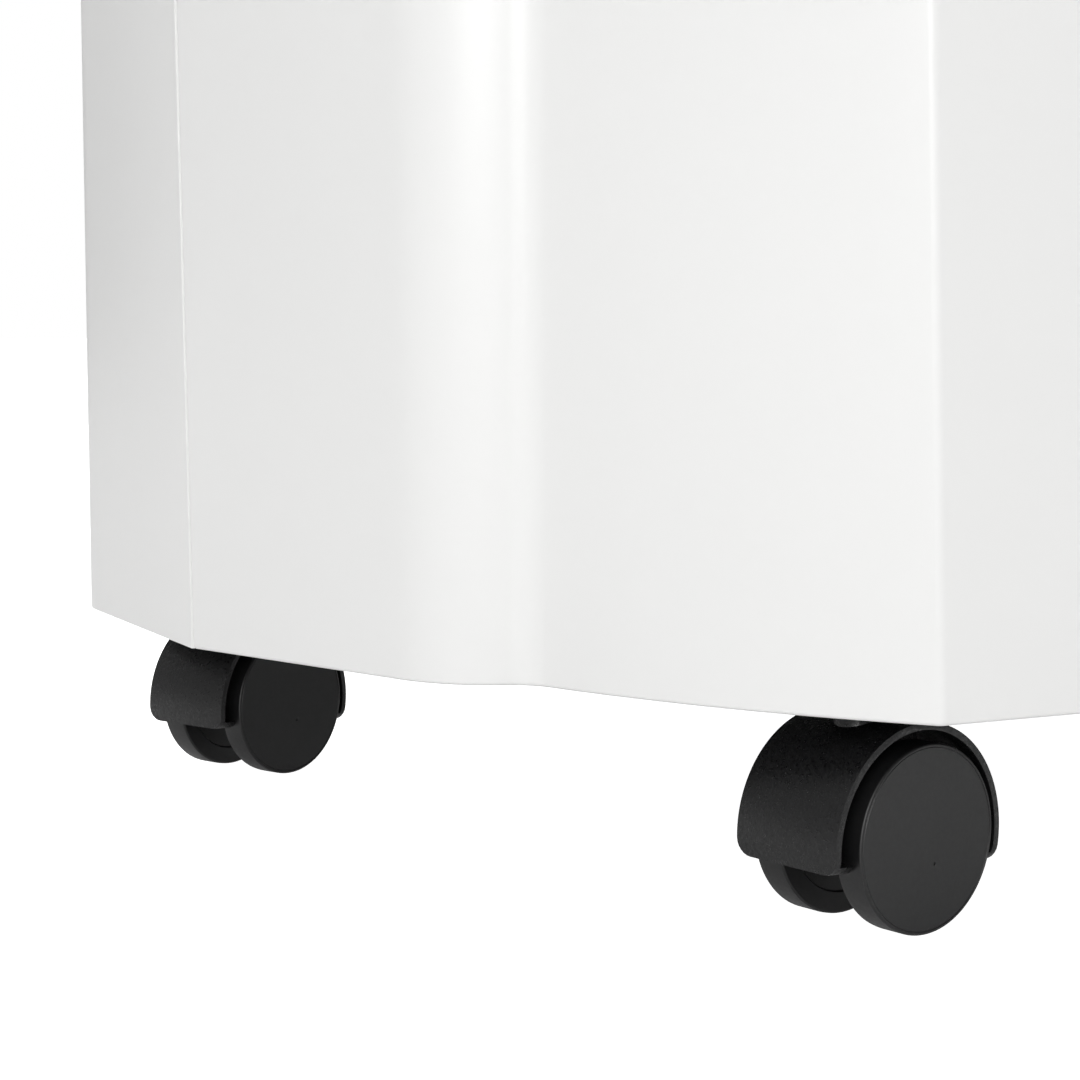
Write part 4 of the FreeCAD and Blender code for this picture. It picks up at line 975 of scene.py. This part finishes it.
@dataclass
class RearPanel(Assembly):
    """Intake grille, air filter, drain, inlet bush and screws."""

    grille_half: float = 124.7 * MM
    grille_low: float = 304.3 * MM
    grille_high: float = 544.7 * MM
    grille_thickness: float = 4 * MM
    border: float = 8 * MM
    pitch: float = 8 * MM
    net_pitch: float = 4 * MM
    screw_length: float = 14 * MM
    head_radius: float = 3.5 * MM
    head_height: float = 1.3 * MM
    slot_half: float = 0.45 * MM
    slot_reach: float = 2.2 * MM

    def build(self) -> None:
        """Make every piece of the back."""
        self.grille()
        self.dress(from_cad("filter_frame", 0.6 * MM), FILTER_FRAME, "filter_frame")
        self.net()
        self.screws()
        self.dress(from_cad("drain_spout", 0.3 * MM), GREY_ABS, "drain_spout")
        self.dress(from_cad("drain_plug", 0.4 * MM), BLACK_RUBBER, "drain_plug")
        self.dress(from_cad("cord_gland", 0.6 * MM, 3), BLACK_RUBBER, "cord_gland")

    def grille(self) -> None:
        """A rounded frame with two columns of tilted slats either side of a middle bar."""
        back, front = PLAN.half_depth, PLAN.half_depth - self.grille_thickness
        plate = block("intake_grille_skin", (-self.grille_half, front, self.grille_low),
                      (self.grille_half, back, self.grille_high), 3 * MM, Axis.Y)
        windows = []
        for side in BOTH_SIDES:
            near, far = sorted((side * 3 * MM, side * (self.grille_half - self.border)))
            windows.append(block("window", (near, front - MM, self.grille_low + self.border),
                                 (far, back + MM, self.grille_high - self.border), 2 * MM, Axis.Y))
        pieces = [soften(carve(plate, windows), 0.5 * MM)]
        room = self.grille_high - self.grille_low - 2 * self.border
        count = round(room / self.pitch)
        slat = block("slat", (self.border - self.grille_half - MM, -1.9 * MM, -0.8 * MM),
                     (self.grille_half - self.border + MM, 1.9 * MM, 0.8 * MM))
        with editing(slat):
            bpy.ops.mesh.select_all(action="SELECT")
            bpy.ops.transform.rotate(value=math.radians(28), orient_axis="X", center_override=(0, 0, 0))
        soften(slat, 0.5 * MM)
        for index in range(count):
            height = self.grille_low + self.border + room * (index + 0.5) / count
            place = Matrix.Translation((0, (front + back) / 2, height))
            pieces.append(copied(slat, "slat", place))
        bpy.data.objects.remove(slat)
        self.dress(joined(pieces), WHITE_ABS, "intake_grille")

    def net(self) -> None:
        """The filter's square nylon net, with two cross ribs."""
        low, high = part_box("filter_mesh")
        middle = (low + high) / 2
        deselect_all()
        across, up = (high.x - low.x) / self.net_pitch, (high.z - low.z) / self.net_pitch
        bpy.ops.mesh.primitive_grid_add(x_subdivisions=round(across), y_subdivisions=round(up), size=1,
                                        location=middle, rotation=(math.pi / 2, 0, 0))
        net = bpy.context.object
        net.scale = (high.x - low.x, high.z - low.z, 1)
        net = name_active("filter_mesh_skin")
        wires = net.modifiers.new("Wires", "WIREFRAME")
        wires.thickness = 0.55 * MM
        bpy.ops.object.modifier_apply(modifier=wires.name)
        rib_heights = (low.z + (high.z - low.z) / 3, low.z + (high.z - low.z) * 2 / 3)
        ribs = [block("rib", (low.x, middle.y - 1.2 * MM, height - MM),
                      (high.x, middle.y + 1.2 * MM, height + MM)) for height in rib_heights]
        self.dress(net, FILTER_NET, "filter_mesh")
        self.attach(soften(joined(ribs), 0.3 * MM), FILTER_FRAME, "filter_frame").name = "filter_ribs"

    def screws(self) -> None:
        """Six countersunk screws with a cross recess, modelled once and copied."""
        screw = rod("screw", self.head_radius, (0, -self.head_height, 0), self.head_height, Axis.Y, 40)
        arms = [block("arm", (-half, -0.9 * MM, -other), (half, 1 * MM, other))
                for half, other in ((self.slot_half, self.slot_reach), (self.slot_reach, self.slot_half))]
        screw = soften(carve(screw, arms), 0.2 * MM)
        shank = rod("shank", 1.7 * MM, (0, -self.screw_length, 0), self.screw_length - 1.2 * MM, Axis.Y, 24)
        screw = joined([screw, shank])
        head_y = PLAN.half_depth - 0.2 * MM
        copies = [copied(screw, "screw", Matrix.Translation((x, head_y, height)))
                  for x, height in SCREW_PLACES]
        bpy.data.objects.remove(screw)
        group = joined(copies)
        group.name = "case_screws_skin"
        self.dress(group, ZINC, "case_screws")


# ------------------------------------------------------------------ water tank

@dataclass
class WaterTank(Assembly):
    """The tank that slides out of the back: face, window, bin, lid, bail and float."""

    half: float = 143.1 * MM
    low: float = 53.4 * MM
    high: float = 255.6 * MM
    pocket_half: float = 57 * MM
    pocket: tuple[float, float] = (224 * MM, 248 * MM)
    pocket_front: float = 118 * MM
    scoop_front: float = 121 * MM
    rim: float = 3 * MM
    window: tuple[float, float, float, float] = (96 * MM, 110 * MM, 80 * MM, 196 * MM)

    def build(self) -> None:
        """Make every piece of the tank."""
        self.face()
        self.dress(from_cad("tank_bin", 0.5 * MM), TANK_PP, "tank_bin")
        self.dress(from_cad("tank_lid", 0.5 * MM), TANK_PP, "tank_lid")
        self.dress(from_cad("tank_handle", 0.2 * MM, 2, 60), HANDLE_GREY, "tank_handle")
        self.dress(from_cad("tank_float", 1.2 * MM, 3), FLOAT_FOAM, "tank_float")

    def face(self) -> None:
        """The outer panel with a scooped hand pocket and a level window with its marks."""
        back, inside = PLAN.half_depth, PLAN.half_depth - PLAN.wall
        panel = block("tank_face_skin", (-self.half, inside, self.low), (self.half, back, self.high),
                      2.6 * MM, Axis.Y)
        reach = self.pocket_half + self.rim
        low, high = self.pocket[0] - self.rim, self.pocket[1] + self.rim
        box = block("pocket_box", (-reach, self.pocket_front, low), (reach, inside + MM, high),
                    8 * MM, Axis.Y)
        scoop = block("scoop", (-self.pocket_half, self.scoop_front, self.pocket[0]),
                      (self.pocket_half, back + 6 * MM, self.pocket[1]), 7 * MM, Axis.Y)
        with editing(scoop):
            pick_edges(lambda a, b: max(a.y, b.y) < self.scoop_front + MM)
            bpy.ops.mesh.bevel(offset=6 * MM, segments=6, affect="EDGES")
        left, right, bottom, top = self.window
        slot = block("slot", (left, inside - MM, bottom), (right, back + MM, top), 3 * MM, Axis.Y)
        combine(panel, [box], "UNION")
        self.dress(soften(carve(panel, [scoop, slot]), 0.6 * MM, 3, 40), WHITE_ABS, "tank_face")
        pane = block("tank_window_skin", (left + 0.2 * MM, inside, bottom + 0.2 * MM),
                     (right - 0.2 * MM, back - 0.4 * MM, top - 0.2 * MM), 2.8 * MM, Axis.Y)
        self.dress(soften(pane, 0.3 * MM), WINDOW_PS, "tank_window")
        marks = []
        for index in range(9):
            height = bottom + 10 * MM + index * 12 * MM
            reach = 6 * MM if index % 2 == 0 else 3.5 * MM
            marks.append(block("level_marks", (right - 1.6 * MM - reach, back - 0.55 * MM, height),
                               (right - 1.6 * MM, back - 0.3 * MM, height + 0.6 * MM)))
        self.attach(joined(marks), HANDLE_GREY, "tank_window")


# ------------------------------------------------------------------ casters

@dataclass
class Caster(Assembly):
    """One twin-wheel swivel caster, modelled about its stem and then turned to its heading."""

    corner: str = "front_left"
    stem: tuple[float, float] = (0.0, 0.0)
    heading: float = 0.0
    trail: float = 5 * MM
    wheel_radius: float = 20 * MM
    inner_face: float = 8.2 * MM
    outer_face: float = 15.4 * MM
    hood_radius: float = 24.7 * MM
    hood_wall: float = 1.5 * MM
    hood_half: float = 14.3 * MM
    hood_back: float = 1.2 * MM
    hood_drop: float = 0.45 * MM
    hood_edge: float = 6.4 * MM
    hood_slope: float = math.radians(4.1)
    hood_lip: float = 1.9 * MM
    wheel_room: float = 20.7 * MM
    corner_round: float = 3.6 * MM
    web_half: float = 4 * MM
    hub_boss: float = 8.5 * MM
    neck_radius: float = 5.2 * MM

    def place(self) -> Matrix:
        """Where the caster's own frame goes in the machine."""
        turn = Matrix.Rotation(math.radians(self.heading), 4, "Z")
        return Matrix.Translation((*self.stem, 0)) @ turn

    def build(self, wheel: bpy.types.Object, hood: bpy.types.Object) -> None:
        """Copy the shared hood and wheel to this corner.

        Args:
            wheel: a wheel about its own middle, outer face towards +Y.
            hood: a hood about its stem.
        """
        self.dress(copied(hood, f"caster_hood_{self.corner}_skin", self.place()), CASTER_PP,
                   f"caster_hood_{self.corner}")
        outer = -1 if self.corner.endswith("left") else 1
        for label, side in (("outer", outer), ("inner", -outer)):
            flip = Matrix.Rotation(0 if side > 0 else math.pi, 4, "Z")
            spot = self.place() @ Matrix.Translation((self.trail, 0, self.wheel_radius)) @ flip
            node = f"wheel_{self.corner}_{label}"
            self.dress(copied(wheel, f"{node}_skin", spot), WHEEL_PA, node)
        self.coat(STEEL_PIN, f"caster_stem_{self.corner}", f"caster_axle_{self.corner}")

    def wheel_pattern(self) -> bpy.types.Object:
        """A wheel: smooth tread, rounded rim, a fine groove inside the rim and a gate mark on its face."""
        start, end, radius = self.inner_face, self.outer_face, self.wheel_radius
        rim, groove = 0.5 * MM, 0.16 * MM
        dish = start + 0.5 * MM
        profile = [(2.05 * MM, start), (7 * MM, start), (7.4 * MM, dish), (15 * MM, dish), (15.4 * MM, start),
                   (radius - 0.5 * MM, start), (radius - 0.1 * MM, start + 0.3 * MM),
                   (radius, start + 1.2 * MM), (radius, end - rim)]
        for index in range(1, 9):
            turn = math.radians(90 * index / 8)
            profile.append((radius - rim * (1 - math.cos(turn)), end - rim * (1 - math.sin(turn))))
        seam = radius - rim - 0.15 * MM
        profile += [(seam, end - 0.02 * MM), (seam - 0.08 * MM, end - groove),
                    (seam - 0.2 * MM, end - groove), (seam - 0.3 * MM, end - 0.05 * MM),
                    (14 * MM, end - 0.12 * MM), (8 * MM, end - 0.2 * MM), (0.0, end - 0.24 * MM)]
        gate = rod("gate", 0.4 * MM, (-2.2 * MM, end - 0.4 * MM, -5.4 * MM), MM, Axis.Y, 16)
        wheel = carve(turned("wheel_pattern", profile, 120), [gate])
        choose(wheel)
        bpy.ops.object.shade_smooth_by_angle(angle=math.radians(32))
        return wheel

    def drum(self, name: str, radius: float, half: float, x: float, z: float) -> bpy.types.Object:
        """A drum across the caster, as wide to either side."""
        return rod(name, radius, (x, -half, z), 2 * half, Axis.Y, 160)

    def edge_block(self, name: str, drop: float, top: float, half: float,
                   corner: float = 0.0) -> bpy.types.Object:
        """A block whose one face lies along the hood's sloping lower edge.

        Args:
            name: the new piece's name.
            drop: how far that face passes under the axle.
            top: how far the block reaches from it, upwards or (if negative) downwards.
            half: half of its width.
            corner: radius of its edges along the slope.

        Returns:
            The new mesh object.
        """
        reach = 2 * self.wheel_radius
        straight = block(name, (-reach, -half, min(0, top)), (reach, half, max(0, top)), corner, Axis.X)
        place = Matrix.Translation((self.trail, 0, self.wheel_radius - drop))
        sloped = copied(straight, name, place @ Matrix.Rotation(self.hood_slope, 4, "Y"))
        bpy.data.objects.remove(straight)
        return sloped

    def hood_pattern(self) -> bpy.types.Object:
        """A hood: an arched shell with round lower corners and turned-in lips, a web, a neck and a boss."""
        middle, centre = self.trail - self.hood_back, self.wheel_radius - self.hood_drop
        outside = self.edge_block("outside", self.hood_edge, 3 * self.wheel_radius, self.hood_half,
                                  self.corner_round)
        hood = combine(self.drum("hood_pattern", self.hood_radius, self.hood_half + MM, middle, centre),
                       [outside], "INTERSECT")
        lips = self.edge_block("lips", self.hood_edge - self.hood_lip, -2 * self.wheel_radius,
                               self.hood_half + 3 * MM)
        cavity = carve(self.drum("cavity", self.hood_radius - self.hood_wall, self.hood_half + 2 * MM,
                                 middle, centre), [lips])
        room = self.drum("room", self.wheel_room, self.hood_half + 2 * MM, self.trail, self.wheel_radius)
        soften(carve(hood, [cavity, room]), 0.35 * MM, 3, 40)
        boss = rod("boss", self.hub_boss, (self.trail, -self.web_half, self.wheel_radius), 2 * self.web_half,
                   Axis.Y)
        web = block("web", (self.trail - 14 * MM, -self.web_half, self.wheel_radius),
                    (self.trail + 9 * MM, self.web_half, self.wheel_radius + self.hood_radius))
        under = self.drum("under", self.hood_radius - MM, 2 * self.web_half, middle, centre)
        combine(web, [under], "INTERSECT")
        neck = rod("neck", self.neck_radius, (0, 0, self.wheel_radius + 2 * MM), 22.9 * MM)
        fitting = [soften(part, 0.4 * MM) for part in (boss, web, neck)]
        return joined([hood, *fitting])


CASTERS = {
    "front_left": ((-88.97 * MM, -111.65 * MM), 12.8),
    "front_right": ((88.97 * MM, -111.65 * MM), 180 - 12.8),
    "rear_left": ((-149.08 * MM, 110.4 * MM), 25.4),
    "rear_right": ((149.08 * MM, 110.4 * MM), 180 - 25.4),
}


# ------------------------------------------------------------------ inside

@dataclass
class Inside(Assembly):
    """The working parts, which keep their CAD shapes and get their real finishes."""

    def build(self) -> None:
        """Dress every hidden part."""
        self.coat(TRAY_ABS, "drip_tray", "fan_scroll")
        self.coat(FIN_ALUMINIUM, "evaporator_fins", "condenser_fins")
        self.coat(COPPER, "evaporator_tubes", "condenser_tubes", "refrigerant_pipes")
        self.coat(BLACK_ENAMEL, "compressor")
        self.coat(BLACK_RUBBER, "compressor_feet")
        self.coat(ZINC, "fan_motor", "fan_shaft")
        self.coat(PAN_PP, "fan_impeller", "float_switch")


# ------------------------------------------------------------------ studio

@dataclass
class Studio:
    """Pale floor, soft lights and the camera."""

    eye: tuple[float, float, float] = (-361 * MM, -518.5 * MM, 125.6 * MM)
    heading: float = math.atan2(0.438, 0.899)
    pitch: float = math.radians(5.24)
    lens: float = 78.33
    sky: float = 0.29
    floor_glow: float = 1.0
    mirror_share: float = 0.15

    def build(self) -> None:
        """Make the stage."""
        self.floor()
        self.world()
        self.softbox("key", (-2.0, -2.45, 1.2), 2.0, 66)
        self.softbox("top", (0.0, -0.1, 2.2), 1.4, 7)
        self.softbox("rear_fill", (0.9, 1.8, 1.0), 1.4, 18)
        self.softbox("right_fill", (1.8, -0.6, 0.9), 1.2, 7)
        self.camera()

    def seen_or_mirrored(self, tree: bpy.types.NodeTree) -> bpy.types.NodeSocket:
        """A socket that is 1 for what the camera sees, less in glossy surfaces, and 0 for plain light."""
        path = add_node(tree, "LightPath")
        mirrored_part = add_node(tree, "Math", {0: path.outputs["Is Glossy Ray"], 1: self.mirror_share},
                                 operation="MULTIPLY")
        return add_node(tree, "Math", {0: path.outputs["Is Camera Ray"], 1: mirrored_part.outputs[0]},
                        operation="MAXIMUM").outputs[0]

    def floor(self) -> None:
        """A wide, plain white floor that looks lit from below and glows only faintly in glossy surfaces."""
        deselect_all()
        bpy.ops.mesh.primitive_plane_add(size=40)
        floor = name_active("floor")
        sheet = bpy.data.materials.new("lit_white_acrylic_floor")
        sheet.use_nodes = True
        tree = sheet.node_tree
        tree.nodes.clear()
        surface = add_node(tree, "BsdfDiffuse", {"Color": linear("ffffff")})
        seen = self.seen_or_mirrored(tree)
        strength = add_node(tree, "Math", {0: seen, 1: self.floor_glow}, operation="MULTIPLY")
        glow = add_node(tree, "Emission", {"Color": linear("ffffff"), "Strength": strength.outputs[0]})
        both = add_node(tree, "AddShader", {0: surface.outputs[0], 1: glow.outputs[0]})
        add_node(tree, "OutputMaterial", {"Surface": both.outputs[0]})
        floor.data.materials.append(sheet)

    def world(self) -> None:
        """An even white surround that shows pure white and lights more softly."""
        world = bpy.data.worlds.new("surround")
        world.use_nodes = True
        tree = world.node_tree
        tree.nodes.clear()
        seen = self.seen_or_mirrored(tree)
        light = add_node(tree, "Background", {"Color": (1, 1, 1, 1), "Strength": self.sky})
        backdrop = add_node(tree, "Background", {"Color": (1, 1, 1, 1), "Strength": 1.0})
        mix = add_node(tree, "MixShader", {0: seen, 1: light.outputs[0], 2: backdrop.outputs[0]})
        add_node(tree, "OutputWorld", {"Surface": mix.outputs[0]})
        bpy.context.scene.world = world
        bpy.context.scene.view_settings.view_transform = "Standard"

    def softbox(self, name: str, spot: tuple[float, float, float], size: float, power: float) -> None:
        """A square area light that faces the middle of the machine.

        Args:
            name: the light's name.
            spot: where it stands.
            size: its side.
            power: its power in watts.
        """
        deselect_all()
        aim = Vector((0, 0, 0.25)) - Vector(spot)
        bpy.ops.object.light_add(type="AREA", location=spot, rotation=aim.to_track_quat("-Z", "Y").to_euler())
        lamp = bpy.context.object
        lamp.name = name
        lamp.data.size = size
        lamp.data.energy = power

    def camera(self) -> None:
        """The camera, low at the front left corner."""
        flat = math.cos(self.pitch)
        look = Vector((math.sin(self.heading) * flat, math.cos(self.heading) * flat, -math.sin(self.pitch)))
        deselect_all()
        bpy.ops.object.camera_add(location=self.eye, rotation=look.to_track_quat("-Z", "Y").to_euler())
        camera = bpy.context.object
        camera.data.lens = self.lens
        camera.data.sensor_width = 36
        camera.data.clip_start = 0.01
        bpy.context.scene.camera = camera


def main() -> None:
    """Build the machine and its studio."""
    logging.basicConfig(level=logging.INFO, format="%(name)s: %(message)s")
    Studio().build()
    assemblies: list[Assembly] = [Cabinet(), TopDeck(), RearPanel(), WaterTank(), Inside()]
    for assembly in assemblies:
        assembly.build()
        LOG.info("%s: %d pieces", type(assembly).__name__, len(assembly.made))
    wheel, hood = Caster().wheel_pattern(), Caster().hood_pattern()
    for corner, (stem, heading) in CASTERS.items():
        Caster(corner=corner, stem=stem, heading=heading).build(wheel, hood)
    for pattern in (wheel, hood):
        bpy.data.objects.remove(pattern)


if __name__ == "__main__":
    main()
